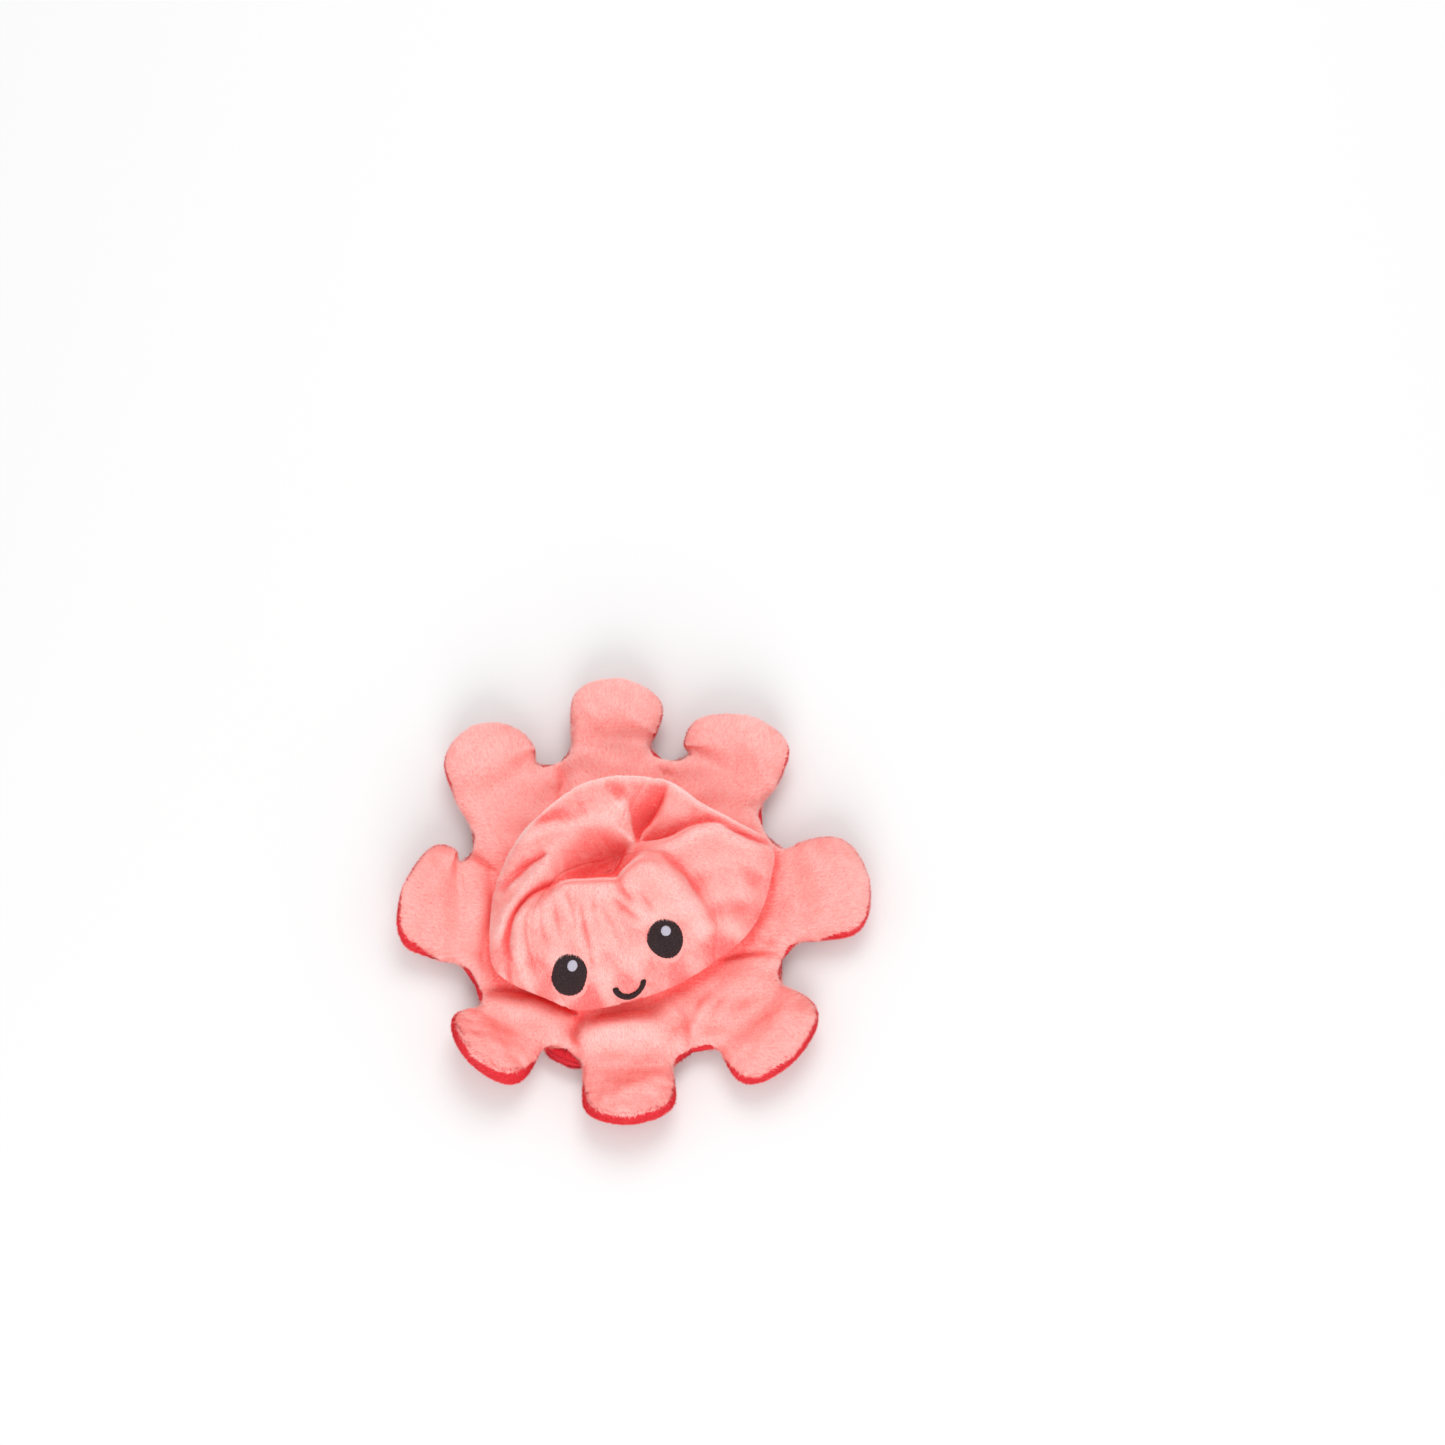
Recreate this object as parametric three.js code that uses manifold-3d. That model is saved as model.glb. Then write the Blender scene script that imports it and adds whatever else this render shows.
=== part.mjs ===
// A reversible octopus soft toy, lying with its coral side out and its head slumped into a dimple.
// Units are millimetres, +Z is up and the face looks towards -Y.
// Two octopus-shaped covers, coral and crimson, are sewn together along the arms and stuffed between.
import * as THREE from "three";
import Module from "manifold-3d";

const wasm = await Module();
wasm.setup();

// Cloth and clearances
const CLOTH = 2.4; // thickness of the plush cloth with its pile
const SEAM_GAP = 0.3; // between two pieces that touch
const FILL_GAP = 0.9; // between the cloth and the fibre filling
const MERGE = 1e-3; // points closer than this are one
const ROUNDING = 1e-9; // below this a sum counts as nothing

// The ring of arms, measured from its own centre
const RING_CENTRE = new THREE.Vector2(-1.4, -2.7); // where that centre lies in the part's frame
const HINGE_RADIUS = 68; // from the ring's centre to the sewn line where an arm bends
const HINGE_HEIGHT = 8; // height of that line above the table
const NECK_HALF_THICKNESS = 3; // of the two covers together at the sewn line
const WEB_DIP = 2.5; // how far the skirt's edge curves in between two arms
const WEB_HALF_THICKNESS = 2; // of the skirt's edge between two arms
const WEB_AT = [0.3, 0.7]; // shares of the way from one neck to the next

// Each arm, clockwise from the back left. Angles are in degrees from +X, sizes in millimetres.
// bearing: where it is sewn on, heading: where it points, reach: from the sewn line to the tip,
// neck and lobe: half widths, puff: height of the coral side over the seam, lift: rise of the tip.
const ARMS = [
  { bearing: 119, heading: 95, reach: 36, neck: 18, lobe: 19, puff: 11, lift: 3 },
  { bearing: 76.5, heading: 60, reach: 31, neck: 18.5, lobe: 20.5, puff: 11, lift: 3 },
  { bearing: 31, heading: 50, reach: 28.5, neck: 19.5, lobe: 21.5, puff: 11, lift: 3 },
  { bearing: -18, heading: -7, reach: 33, neck: 20, lobe: 22.5, puff: 11, lift: 2 },
  { bearing: -65, heading: -65, reach: 29, neck: 18.5, lobe: 23, puff: 10, lift: 4 },
  { bearing: -111, heading: -105, reach: 26.5, neck: 19, lobe: 20, puff: 10, lift: 7 },
  { bearing: -152.5, heading: -157, reach: 28, neck: 15, lobe: 20, puff: 11, lift: 10 },
  { bearing: 163.5, heading: 145, reach: 27.5, neck: 20, lobe: 23, puff: 11, lift: 9 },
];
const BELLY_DEPTH = 12; // depth of the crimson side under the seam
const LOBE_AT = 0.55; // share of the reach where an arm is widest
const FULL_AT = 0.5; // share of the reach where it is thickest
const OUTLINE_POWER = 2.4; // how blunt the tip is, seen from above
const TIP_POWER = 2.6; // how blunt the tip is, seen from the side
const SIDE_POWER = 0.55; // how steeply an arm's sides turn down to the seam
const SEAM_RISE = 3.4; // from the sewn line to the seam in the middle of the lobe
const ARM_ROWS = [0.22, 0.45, 0.68, 0.87, 0.97, 1]; // shares of the reach, from the sewn line to the tip
const ARM_COLUMNS = 6;
const NOSE_ANGLES = [0, 45]; // of the rows round the end that turns against the skirt

// The slumped head
const POLE = new THREE.Vector2(0, 17); // where the gores meet, in the dimple
const HEAD_OUTLINE = [
  [-5, -43], [10, -42], [27, -38], [40, -33], [49, -26], [58, -14], [63.5, -1],
  [53, 12], [43, 24], [33, 38], [18, 46], [-2, 50], [-22, 45], [-37, 37],
  [-50, 24], [-58, 9], [-63, -7], [-59, -17], [-46, -30], [-37, -38], [-20, -42],
]; // the widest line round the head
const HEAD_WIDEST_HEIGHT = 24; // height of that line
const HEAD_BASE_SHARE = 0.92; // size of the head's lower edge, as a share of the widest line
const EDGE_POWER = 8; // how close to the widest line the crown stays level
const CROWN_POWER = 0.45; // how steeply it then turns down
const LEVEL_FROM = 0.12; // share in from the widest line where the cloth counts as lying level
const LEAST_FACING = 0.6; // a limit on how much thicker the cloth measures on a steep fold
const CROWN_ROWS = [0.97, 0.88, 0.76, 0.64, 0.52, 0.4, 0.28, 0.16, 0.04]; // shares of the way from the pole
const GORE_COLUMNS = 7;
const GORE_NAMES = ["front", "front_right", "back_right", "back", "back_left", "front_left"];

// The seams between gores, in degrees: the bearing from the pole at the widest line, and how far
// the slumping has swept the seam round by the time it reaches the pole.
const HEAD_SEAMS = [
  { rim: -128, sweep: -60 }, { rim: -67, sweep: 42 }, { rim: -18, sweep: 20 },
  { rim: 40, sweep: 14 }, { rim: 105, sweep: 5 }, { rim: 175, sweep: -15 },
];
const CROWN_SEAMS = [-145, -50, -5, 50, 105, 160].map((rim) => ({ rim, sweep: 0 }));

// Heights of the head's surface at places on it: x, y, height
const HEAD_HEIGHTS = [
  [-12, -37, 41], [-36, -30, 42], [12, -32, 43], [-12, -14, 52], [-32, 0, 50], [-8, -2, 55], [12, 0, 55],
  [34, -22, 38], [50, -10, 35], [32, 8, 46], [0, 20, 41], [-20, 30, 42], [10, 36, 43], [-5, 45, 46],
  [28, 34, 43], [-40, 24, 42], [-52, 2, 39], [-55, -14, 31],
];
const HEIGHT_REACH = 9; // how far each of these heights is felt

// Folds of the slumped cloth: the line that each follows, its rise or depth, and its half width
const FOLDS = [
  { name: "left dimple", path: [[-22, 18], [-12, 17], [-4, 16]], rise: -17, width: 6 },
  { name: "right dimple", path: [[13, 23], [20, 30], [25, 34]], rise: -15, width: 5 },
  { name: "gather", path: [[1, 13], [8, 17]], rise: 6, width: 5 },
  { name: "flap valley", path: [[14, 21], [30, 18], [44, 12], [49, 9]], rise: -8, width: 4.5 },
  {
    name: "back ridge",
    path: [[50, 13], [40, 25], [30, 36], [15, 43], [-3, 46], [-20, 41], [-36, 32], [-48, 20]],
    rise: 4,
    width: 5,
  },
  { name: "left ridge", path: [[-26, 22], [-40, 15], [-52, 2], [-57, -10]], rise: 4, width: 5 },
  { name: "left valley", path: [[-32, 12], [-43, 5], [-50, -7], [-50, -19]], rise: -7, width: 5 },
  { name: "face edge", path: [[-36, 3], [-44, -7], [-45, -19], [-40, -29]], rise: 2.5, width: 5 },
];

// The crimson crown, pushed up inside the head
const MOUTH_SHARE = 0.74; // size of the hollow's mouth, as a share of the head's widest line
const HOLLOW_SHARE = 0.42; // height of the hollow, as a share of the head's height over it
const HOLLOW_DROP = 3; // and how much lower again
const HOLLOW_POWERS = [4, 0.5]; // how close to the mouth the hollow stays level, and how steeply it turns down
const HOLLOW_ROWS = [0.96, 0.86, 0.7, 0.5, 0.28, 0.05];
const HOLLOW_COLUMNS = 4;
const MOUTH_HEIGHT = CLOTH + SEAM_GAP; // of the crown's lower edge, which stands on the crimson skirt

// The skirt between the head and the arms
const SKIRT_TOP = 13; // height of the coral skirt beside the head
const SKIRT_SAG = 0.4; // how much lower it is half way out
const HEAD_BASE_HEIGHT = SKIRT_TOP + SEAM_GAP; // of the head's lower edge, which stands on the coral skirt
const FLAT_SHARE = 0.55; // share of the crimson skirt's width that lies flat on the table
const FILLING_FLAT_SHARE = 0.47; // share of its width where the filling over it is flat
const FILLING_REACH = 0.76; // share of its width that the filling reaches
const FILLING_EDGE = [7.5, 8.3]; // heights of the filling's edge there

// Embroidery. Each place is on the surface, each tilt is the surface's slope there in degrees, and the
// mouth is part of a ring that starts at a bearing in the surface.
const THREAD = 1.1; // thickness of the stitched eyes and mouth
const THREAD_GAP = 0.3; // between the stitches and what they are sewn on
const EYE = { width: 14.3, height: 17.5 };
const GLINT = { width: 4.6, height: 5, thickness: 0.6 };
const MOUTH = { radius: 6, stroke: 2.3, sweep: 170 };
const FACE = {
  eyes: [[-34.4, -27.6, 43], [7.3, -27.8, 43]], glint: [1.6, 3.6], eyeTilt: 30,
  mouth: [-13.2, -39.5, 35], mouthTilt: 58, mouthFrom: 185,
};
const HIDDEN_FACE = {
  eyes: [[-18, -9, 14], [7, -9, 14]], glint: [1.6, 3.6], eyeTilt: 20,
  mouth: [-5.5, -22, 10], mouthTilt: 40, mouthFrom: 5,
};

const CORAL = 0xf58a80;
const CRIMSON = 0xc3202f;
const FIBRE = 0xf2efe8;
const BLACK = 0x1a1214;
const WHITE = 0xe6e2ea;

const radians = THREE.MathUtils.degToRad;
const smooth = (x) => THREE.MathUtils.smoothstep(x, 0, 1);
const fromBearing = (degrees, length = 1) =>
  new THREE.Vector2(Math.cos(radians(degrees)), Math.sin(radians(degrees))).multiplyScalar(length);
const raise = (plan, height) => new THREE.Vector3(plan.x, plan.y, height);

const octopus = new THREE.Group();
octopus.position.set(RING_CENTRE.x, RING_CENTRE.y, 0);

/** Adds one named piece to the toy. */
function add(name, geometry, colour, roughness = 0.95) {
  const material = new THREE.MeshStandardMaterial({ color: colour, roughness, metalness: 0 });
  const mesh = new THREE.Mesh(geometry, material);
  mesh.name = name;
  octopus.add(mesh);
}

/**
 * A closed solid between two grids of points that have the same rows and columns.
 * Points that coincide are merged, so a row can close to a point and the two grids can share an edge.
 */
function between(outside, inside, ringed = false) {
  const places = [];
  const known = new Map();
  const triangles = [];
  const indexOf = (p) => {
    const key = [p.x, p.y, p.z].map((v) => Math.round(v / MERGE)).join();
    if (!known.has(key)) known.set(key, places.push(p) - 1);
    return known.get(key);
  };
  const triangle = (a, b, c) => {
    const corners = [a, b, c].map(indexOf);
    if (new Set(corners).size === 3) triangles.push(corners);
  };
  const quad = (a, b, c, d) => {
    triangle(a, b, c);
    triangle(a, c, d);
  };
  const rows = outside.length;
  const columns = outside[0].length;
  const steps = ringed ? columns : columns - 1;
  for (let i = 0; i + 1 < rows; i++) {
    for (let j = 0; j < steps; j++) {
      const k = (j + 1) % columns;
      quad(outside[i][j], outside[i + 1][j], outside[i + 1][k], outside[i][k]);
      quad(inside[i][j], inside[i][k], inside[i + 1][k], inside[i + 1][j]);
    }
    if (!ringed) {
      quad(outside[i][0], inside[i][0], inside[i + 1][0], outside[i + 1][0]);
      const last = columns - 1;
      quad(outside[i][last], outside[i + 1][last], inside[i + 1][last], inside[i][last]);
    }
  }
  for (let j = 0; j < steps; j++) {
    const k = (j + 1) % columns;
    const end = rows - 1;
    quad(outside[0][j], outside[0][k], inside[0][k], inside[0][j]);
    quad(outside[end][j], inside[end][j], inside[end][k], outside[end][k]);
  }
  return facingOut(places, triangles);
}

/** A closed solid wrapped by rings of points, from the one round one pole to the one round the other. */
function wrapped(rings) {
  const columns = rings[0].length;
  const places = rings.flat();
  const triangles = [];
  for (let i = 0; i + 1 < rings.length; i++) {
    for (let j = 0; j < columns; j++) {
      const [a, b] = [i * columns + j, i * columns + ((j + 1) % columns)];
      triangles.push([a, b, b + columns], [a, b + columns, a + columns]);
    }
  }
  [rings[0], rings[rings.length - 1]].forEach((ring, end) => {
    const middle = ring.reduce((sum, p) => sum.add(p), new THREE.Vector3()).divideScalar(columns);
    const pole = places.push(middle) - 1;
    const first = end * (rings.length - 1) * columns;
    for (let j = 0; j < columns; j++) {
      const [a, b] = [first + j, first + ((j + 1) % columns)];
      triangles.push(end ? [a, b, pole] : [b, a, pole]);
    }
  });
  return facingOut(places, triangles);
}

/** The geometry of a closed body, turned so that its faces point out. */
function facingOut(places, triangles) {
  let volume = 0;
  for (const [a, b, c] of triangles) volume += places[a].dot(places[b].clone().cross(places[c]));
  const geometry = new THREE.BufferGeometry();
  geometry.setAttribute("position", new THREE.Float32BufferAttribute(places.flatMap((p) => p.toArray()), 3));
  geometry.setIndex(triangles.flatMap(([a, b, c]) => (volume > 0 ? [a, b, c] : [a, c, b])));
  geometry.computeVertexNormals();
  return geometry;
}

/** The solid of a closed geometry, with its coinciding points merged. */
function solidOf(geometry) {
  const known = new Map();
  const places = [];
  const position = geometry.getAttribute("position");
  const merged = Array.from({ length: position.count }, (_, i) => {
    const p = [position.getX(i), position.getY(i), position.getZ(i)];
    const key = p.map((v) => Math.round(v / MERGE)).join();
    if (!known.has(key)) known.set(key, places.push(p) - 1);
    return known.get(key);
  });
  const corners = geometry.index ? Array.from(geometry.index.array) : merged.map((_, i) => i);
  return new wasm.Manifold(
    new wasm.Mesh({
      numProp: 3,
      vertProperties: new Float32Array(places.flat()),
      triVerts: new Uint32Array(corners.map((i) => merged[i])),
    }),
  );
}

/** The geometry of a solid. */
function geometryOf(solid) {
  const mesh = solid.getMesh();
  const geometry = new THREE.BufferGeometry();
  geometry.setAttribute("position", new THREE.BufferAttribute(new Float32Array(mesh.vertProperties), 3));
  geometry.setIndex(new THREE.BufferAttribute(new Uint32Array(mesh.triVerts), 1));
  geometry.computeVertexNormals();
  return geometry;
}

// Arms

/** The outline and seam of one arm, worked out from its row of sizes. */
class Arm {
  constructor(sizes, number) {
    Object.assign(this, sizes);
    this.name = `arm_${number}`;
    this.outward = fromBearing(this.bearing);
    this.hinge = fromBearing(this.bearing, HINGE_RADIUS);
    this.tangent = new THREE.Vector2(this.outward.y, -this.outward.x);
    this.along = fromBearing(this.heading);
    this.across = new THREE.Vector2(this.along.y, -this.along.x);
  }

  /** Half width at a share of the reach, narrow at the neck, wide at the lobe and round at the tip. */
  halfWidth(share, inset = 0) {
    const lobe = this.lobe - inset;
    const neck = this.neck - inset;
    if (share < LOBE_AT) return neck + (lobe - neck) * smooth(share / LOBE_AT);
    return lobe * Math.sqrt(Math.max(0, 1 - ((share - LOBE_AT) / (1 - LOBE_AT)) ** OUTLINE_POWER));
  }

  /** Height over or depth under the seam in the middle of the arm, growing from the neck's to the full one. */
  fullness(share, full) {
    const swell = THREE.MathUtils.lerp(NECK_HALF_THICKNESS, full, smooth(share / FULL_AT));
    const beyond = Math.max(0, (share - FULL_AT) / (1 - FULL_AT));
    return swell * Math.sqrt(Math.max(0, 1 - beyond ** TIP_POWER));
  }

  /** Height of the seam between the two covers at a share of the reach. */
  seamHeight(share) {
    return HINGE_HEIGHT + SEAM_RISE * smooth(share / FULL_AT) + this.lift * share ** 3;
  }

  /** Plan position at a share of the reach and from -1 to 1 across the width. */
  plan(share, side, inset = 0) {
    const across = this.tangent.clone().lerp(this.across, smooth(share / FULL_AT)).normalize();
    return this.hinge
      .clone()
      .addScaledVector(this.along, share * (this.reach - inset))
      .addScaledVector(across, side * this.halfWidth(share, inset));
  }

  /** One row of a cover: its surface (up is 1 for coral, -1 for crimson) at an inset from the outside. */
  row(share, up, inset) {
    const middle = Math.max(0, this.fullness(share, up > 0 ? this.puff : BELLY_DEPTH) - inset);
    return armSides.map((side) => {
      const swell = share > 0 ? middle * Math.max(0, 1 - side * side) ** SIDE_POWER : middle;
      const height = this.seamHeight(share) + up * (SEAM_GAP / 2 + swell);
      return raise(this.plan(share, side, inset), Math.max(height, inset));
    });
  }

  /** The rounded end that turns against the skirt, as rows from its edge towards the sewn line. */
  nose(up) {
    return NOSE_ANGLES.map((degrees) => {
      const back = -NECK_HALF_THICKNESS * Math.cos(radians(degrees));
      const height = NECK_HALF_THICKNESS * Math.sin(radians(degrees));
      return armSides.map((side) => {
        const place = this.hinge.clone().addScaledVector(this.tangent, side * this.neck);
        return raise(place.addScaledVector(this.outward, back), HINGE_HEIGHT + up * (SEAM_GAP / 2 + height));
      });
    });
  }

  /** A cover from the neck to the tip, hollow for the filling. */
  cover(up) {
    const neck = [...this.nose(up), this.row(0, up, 0)];
    const closed = neck.map((row) => row.map((p) => p.clone().setZ(HINGE_HEIGHT + up * (SEAM_GAP / 2))));
    const rows = (inset) => ARM_ROWS.map((share) => this.row(share, up, inset));
    return between([...neck, ...rows(0)], [...closed, ...rows(CLOTH)]);
  }

  /** The fibre inside the two covers. */
  filling() {
    const rows = (up) => ARM_ROWS.map((share) => this.row(share, up, CLOTH + FILL_GAP));
    return between(rows(1), rows(-1));
  }
}

const armSides = Array.from({ length: ARM_COLUMNS + 1 }, (_, j) => Math.sin((j / ARM_COLUMNS - 0.5) * Math.PI));
const arms = ARMS.map((sizes, i) => new Arm(sizes, i + 1));
for (const arm of arms) {
  add(`${arm.name}_coral_cover`, arm.cover(1), CORAL);
  add(`${arm.name}_crimson_cover`, arm.cover(-1), CRIMSON);
  add(`${arm.name}_filling`, arm.filling(), FIBRE);
}

// Head

/** How far from the pole a ray at a bearing, in radians, first meets a closed line of places. */
function distanceTo(line, bearing) {
  const ray = new THREE.Vector2(Math.cos(bearing), Math.sin(bearing));
  let nearest = Infinity;
  line.forEach((a, i) => {
    const b = line[(i + 1) % line.length];
    const start = a.clone().sub(POLE);
    const step = b.clone().sub(a);
    const scale = ray.cross(step);
    if (Math.abs(scale) < ROUNDING) return;
    const along = start.cross(step) / scale;
    const share = start.cross(ray) / scale;
    if (along > 0 && share >= -ROUNDING && share <= 1 + ROUNDING) nearest = Math.min(nearest, along);
  });
  return nearest;
}

const headOutline = new THREE.CatmullRomCurve3(
  HEAD_OUTLINE.map(([x, y]) => new THREE.Vector3(x, y, 0)),
  true,
)
  .getPoints(168)
  .slice(1)
  .map((p) => new THREE.Vector2(p.x, p.y));
const outlineRadius = (bearing) => distanceTo(headOutline, bearing);
const fromPole = (bearing, distance) =>
  new THREE.Vector2(Math.cos(bearing), Math.sin(bearing)).multiplyScalar(distance).add(POLE);

/** Shortest distance from a place to a fold's line. */
function distanceToPath(place, path) {
  let nearest = Infinity;
  const closest = new THREE.Vector3();
  for (let i = 0; i + 1 < path.length; i++) {
    const line = new THREE.Line3(new THREE.Vector3(...path[i], 0), new THREE.Vector3(...path[i + 1], 0));
    line.closestPointToPoint(place, true, closest);
    nearest = Math.min(nearest, closest.distanceTo(place));
  }
  return nearest;
}

/** Height of the stuffed head without its folds: the mean of the given heights, the near ones counting most. */
function plainHeight(x, y) {
  let total = 0;
  let weights = 0;
  for (const [hx, hy, height] of HEAD_HEIGHTS) {
    const weight = Math.exp(-((x - hx) ** 2 + (y - hy) ** 2) / (2 * HEIGHT_REACH ** 2)) + ROUNDING;
    total += weight * height;
    weights += weight;
  }
  return total / weights;
}

/** Height of the slumped head, with its folds. */
function foldedHeight(x, y) {
  const place = new THREE.Vector3(x, y, 0);
  return FOLDS.reduce(
    (height, { path, rise, width }) => height + rise * Math.exp(-((distanceToPath(place, path) / width) ** 2)),
    plainHeight(x, y),
  );
}

/** A point of the head's crown. A share of 0 is the pole and 1 the widest line. */
function crownPoint(bearing, share) {
  const plan = fromPole(bearing, outlineRadius(bearing) * share);
  const rounding = Math.max(0, 1 - share ** EDGE_POWER) ** CROWN_POWER;
  return raise(plan, HEAD_WIDEST_HEIGHT + (foldedHeight(plan.x, plan.y) - HEAD_WIDEST_HEIGHT) * rounding);
}

// The rows of the head's surface, from its base to the pole: a point for a bearing, and the share that
// places the seams. lean is the angle of the cloth's thickness there: 0 is sideways and 90 is upright.
const headRows = [
  { point: (b) => raise(fromPole(b, outlineRadius(b) * HEAD_BASE_SHARE), HEAD_BASE_HEIGHT), share: 1, lean: 0 },
  { point: (b) => crownPoint(b, 1), share: 1, lean: 0 },
  ...CROWN_ROWS.map((share) => ({
    point: (b) => crownPoint(b, share),
    share,
    lean: Math.min(90, Math.sqrt((1 - share) / LEVEL_FROM) * 90),
  })),
];

/** A row's point for a bearing, moved in from the cloth's outside by a depth. */
function headPoint(row, bearing, depth) {
  const { point, lean } = headRows[row];
  const p = point(bearing);
  const turn = radians(2);
  const across = point(bearing + turn).sub(point(bearing - turn));
  const out = headRows[Math.max(row - 1, 0)].point(bearing);
  const inward = headRows[Math.min(row + 1, headRows.length - 1)].point(bearing);
  const normal = across.cross(inward.sub(out)).normalize();
  const way = new THREE.Vector3(
    Math.cos(bearing) * Math.cos(radians(lean)),
    Math.sin(bearing) * Math.cos(radians(lean)),
    Math.sin(radians(lean)),
  );
  return p.addScaledVector(way, -depth / Math.max(LEAST_FACING, normal.dot(way)));
}

/** The bearing of a seam at a share of the way out, and how fast it turns there. */
function seamBearing(seams, number, share) {
  const { rim, sweep } = seams[number % seams.length];
  const turns = number >= seams.length ? 360 : 0;
  const quarter = ((1 - share) * Math.PI) / 2;
  return {
    bearing: radians(rim + turns + sweep * Math.sin(quarter)),
    rate: (-radians(sweep) * Math.cos(quarter) * Math.PI) / 2,
  };
}

/** The bearings of a gore's columns at a share of the way out, drawn in from its seams by half their gap. */
function goreBearings(seams, gore, share, columns, radius, gap = SEAM_GAP) {
  const [from, to] = [0, 1].map((side) => {
    const { bearing, rate } = seamBearing(seams, gore + side, share);
    const distance = share * radius(bearing);
    return bearing + ((side ? -1 : 1) * (gap / 2) * Math.hypot(1, share * rate)) / distance;
  });
  return Array.from({ length: columns + 1 }, (_, j) => THREE.MathUtils.lerp(from, to, j / columns));
}

/** The grid of a head gore's surface at a depth in from the cloth's outside. */
function headSurface(gore, depth) {
  return headRows.map(({ share }, row) =>
    goreBearings(HEAD_SEAMS, gore, share, GORE_COLUMNS, outlineRadius).map((b) => headPoint(row, b, depth)),
  );
}

GORE_NAMES.forEach((name, gore) => {
  add(`head_${name}_gore`, between(headSurface(gore, 0), headSurface(gore, CLOTH)), CORAL);
});

// Crimson crown inside the head

const mouthRadius = (bearing) => outlineRadius(bearing) * MOUTH_SHARE;

/** A point of the hollow's surface, or over it by a depth. A share of 0 is the pole and 1 the mouth. */
function hollowPoint(bearing, share, depth) {
  const plan = fromPole(bearing, (mouthRadius(bearing) + depth) * share);
  const ceiling = plainHeight(plan.x, plan.y) * HOLLOW_SHARE - HOLLOW_DROP;
  const rounding = Math.max(0, 1 - share ** HOLLOW_POWERS[0]) ** HOLLOW_POWERS[1];
  return raise(plan, MOUTH_HEIGHT + (ceiling - MOUTH_HEIGHT + depth) * rounding);
}

/** The grid of a crown gore's surface at a depth over the hollow. */
function hollowSurface(gore, depth) {
  return [1, ...HOLLOW_ROWS].map((share) => {
    const bearings = goreBearings(CROWN_SEAMS, gore, share, HOLLOW_COLUMNS, mouthRadius);
    return bearings.map((b) => hollowPoint(b, share, depth));
  });
}

GORE_NAMES.forEach((name, gore) => {
  add(`crown_${name}_gore`, between(hollowSurface(gore, CLOTH), hollowSurface(gore, 0)), CRIMSON);
});

// Skirt and filling

/** The skirt's edge, clockwise: the face behind each arm's neck and the curve between two arms. */
const skirtEdge = arms.flatMap((arm, i) => {
  const next = arms[(i + 1) % arms.length];
  const corner = (one, side) =>
    one.hinge
      .clone()
      .addScaledVector(one.tangent, side * one.neck)
      .addScaledVector(one.outward, -NECK_HALF_THICKNESS - SEAM_GAP);
  const web = (share) => {
    const place = corner(arm, 1).lerp(corner(next, -1), share);
    return place.setLength(place.length() - WEB_DIP);
  };
  const neck = [0, 1 / 3, 2 / 3, 1].map((share) => corner(arm, -1).lerp(corner(arm, 1), share));
  return [
    ...neck.map((place) => ({ place, half: NECK_HALF_THICKNESS })),
    ...WEB_AT.map((share) => ({ place: web(share), half: WEB_HALF_THICKNESS })),
  ];
});
const edgeLine = skirtEdge.map(({ place }) => place);

/** A ring of points round the skirt, a share of the way from an inner line to the edge. */
function skirtRow(innerRadius, share, height) {
  return skirtEdge.map(({ place, half }) => {
    const bearing = place.clone().sub(POLE).angle();
    const inner = fromPole(bearing, innerRadius(bearing));
    return raise(inner.lerp(place, share), height(half));
  });
}

const underHead = (bearing) => outlineRadius(bearing) * HEAD_BASE_SHARE - CLOTH;

/** The coral cloth ring on top of the skirt. */
function coralSkirt() {
  const rows = (thickness, edge) => [
    skirtRow(underHead, 0, () => SKIRT_TOP - thickness),
    skirtRow(underHead, 0.5, () => SKIRT_TOP - SKIRT_SAG - thickness),
    skirtRow(underHead, 1, edge),
  ];
  return between(
    rows(0, (half) => HINGE_HEIGHT + half),
    rows(CLOTH, () => HINGE_HEIGHT + SEAM_GAP / 2),
    true,
  );
}

/** The crimson cloth ring under the skirt. */
function crimsonSkirt() {
  const rows = (height, edge) => [
    skirtRow(mouthRadius, 0, () => height),
    skirtRow(mouthRadius, FLAT_SHARE, () => height),
    skirtRow(mouthRadius, 1, edge),
  ];
  return between(
    rows(0, (half) => HINGE_HEIGHT - half),
    rows(CLOTH, () => HINGE_HEIGHT - SEAM_GAP / 2),
    true,
  );
}

add("coral_skirt", coralSkirt(), CORAL);
add("crimson_skirt", crimsonSkirt(), CRIMSON);

/** The fibre between the coral head and the crimson crown, and out into the skirt. */
function bodyFilling() {
  const depth = CLOTH + FILL_GAP;
  const ring = (share) =>
    GORE_NAMES.flatMap((_, gore) =>
      goreBearings(HEAD_SEAMS, gore, share, GORE_COLUMNS, outlineRadius, 0).slice(0, GORE_COLUMNS),
    );
  const rim = ring(1);
  const skirt = (share, height) =>
    rim.map((b) => {
      const edge = distanceTo(edgeLine, b);
      return raise(fromPole(b, THREE.MathUtils.lerp(mouthRadius(b), edge, share)), height);
    });
  const shoulder = SKIRT_TOP - SKIRT_SAG - CLOTH - FILL_GAP;
  return wrapped([
    ...HOLLOW_ROWS.toReversed().map((share) => rim.map((b) => hollowPoint(b, share, depth + FILL_GAP))),
    rim.map((b) => hollowPoint(b, 1, depth + FILL_GAP).setZ(depth)),
    skirt(FILLING_FLAT_SHARE, depth),
    ...FILLING_EDGE.map((height) => skirt(FILLING_REACH, height)),
    rim.map((b) => headPoint(0, b, depth).setZ(shoulder)),
    ...headRows.map(({ share }, row) => ring(share).map((b) => headPoint(row, b, depth))),
  ]);
}

add("body_filling", bodyFilling(), FIBRE);

// Faces

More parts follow.
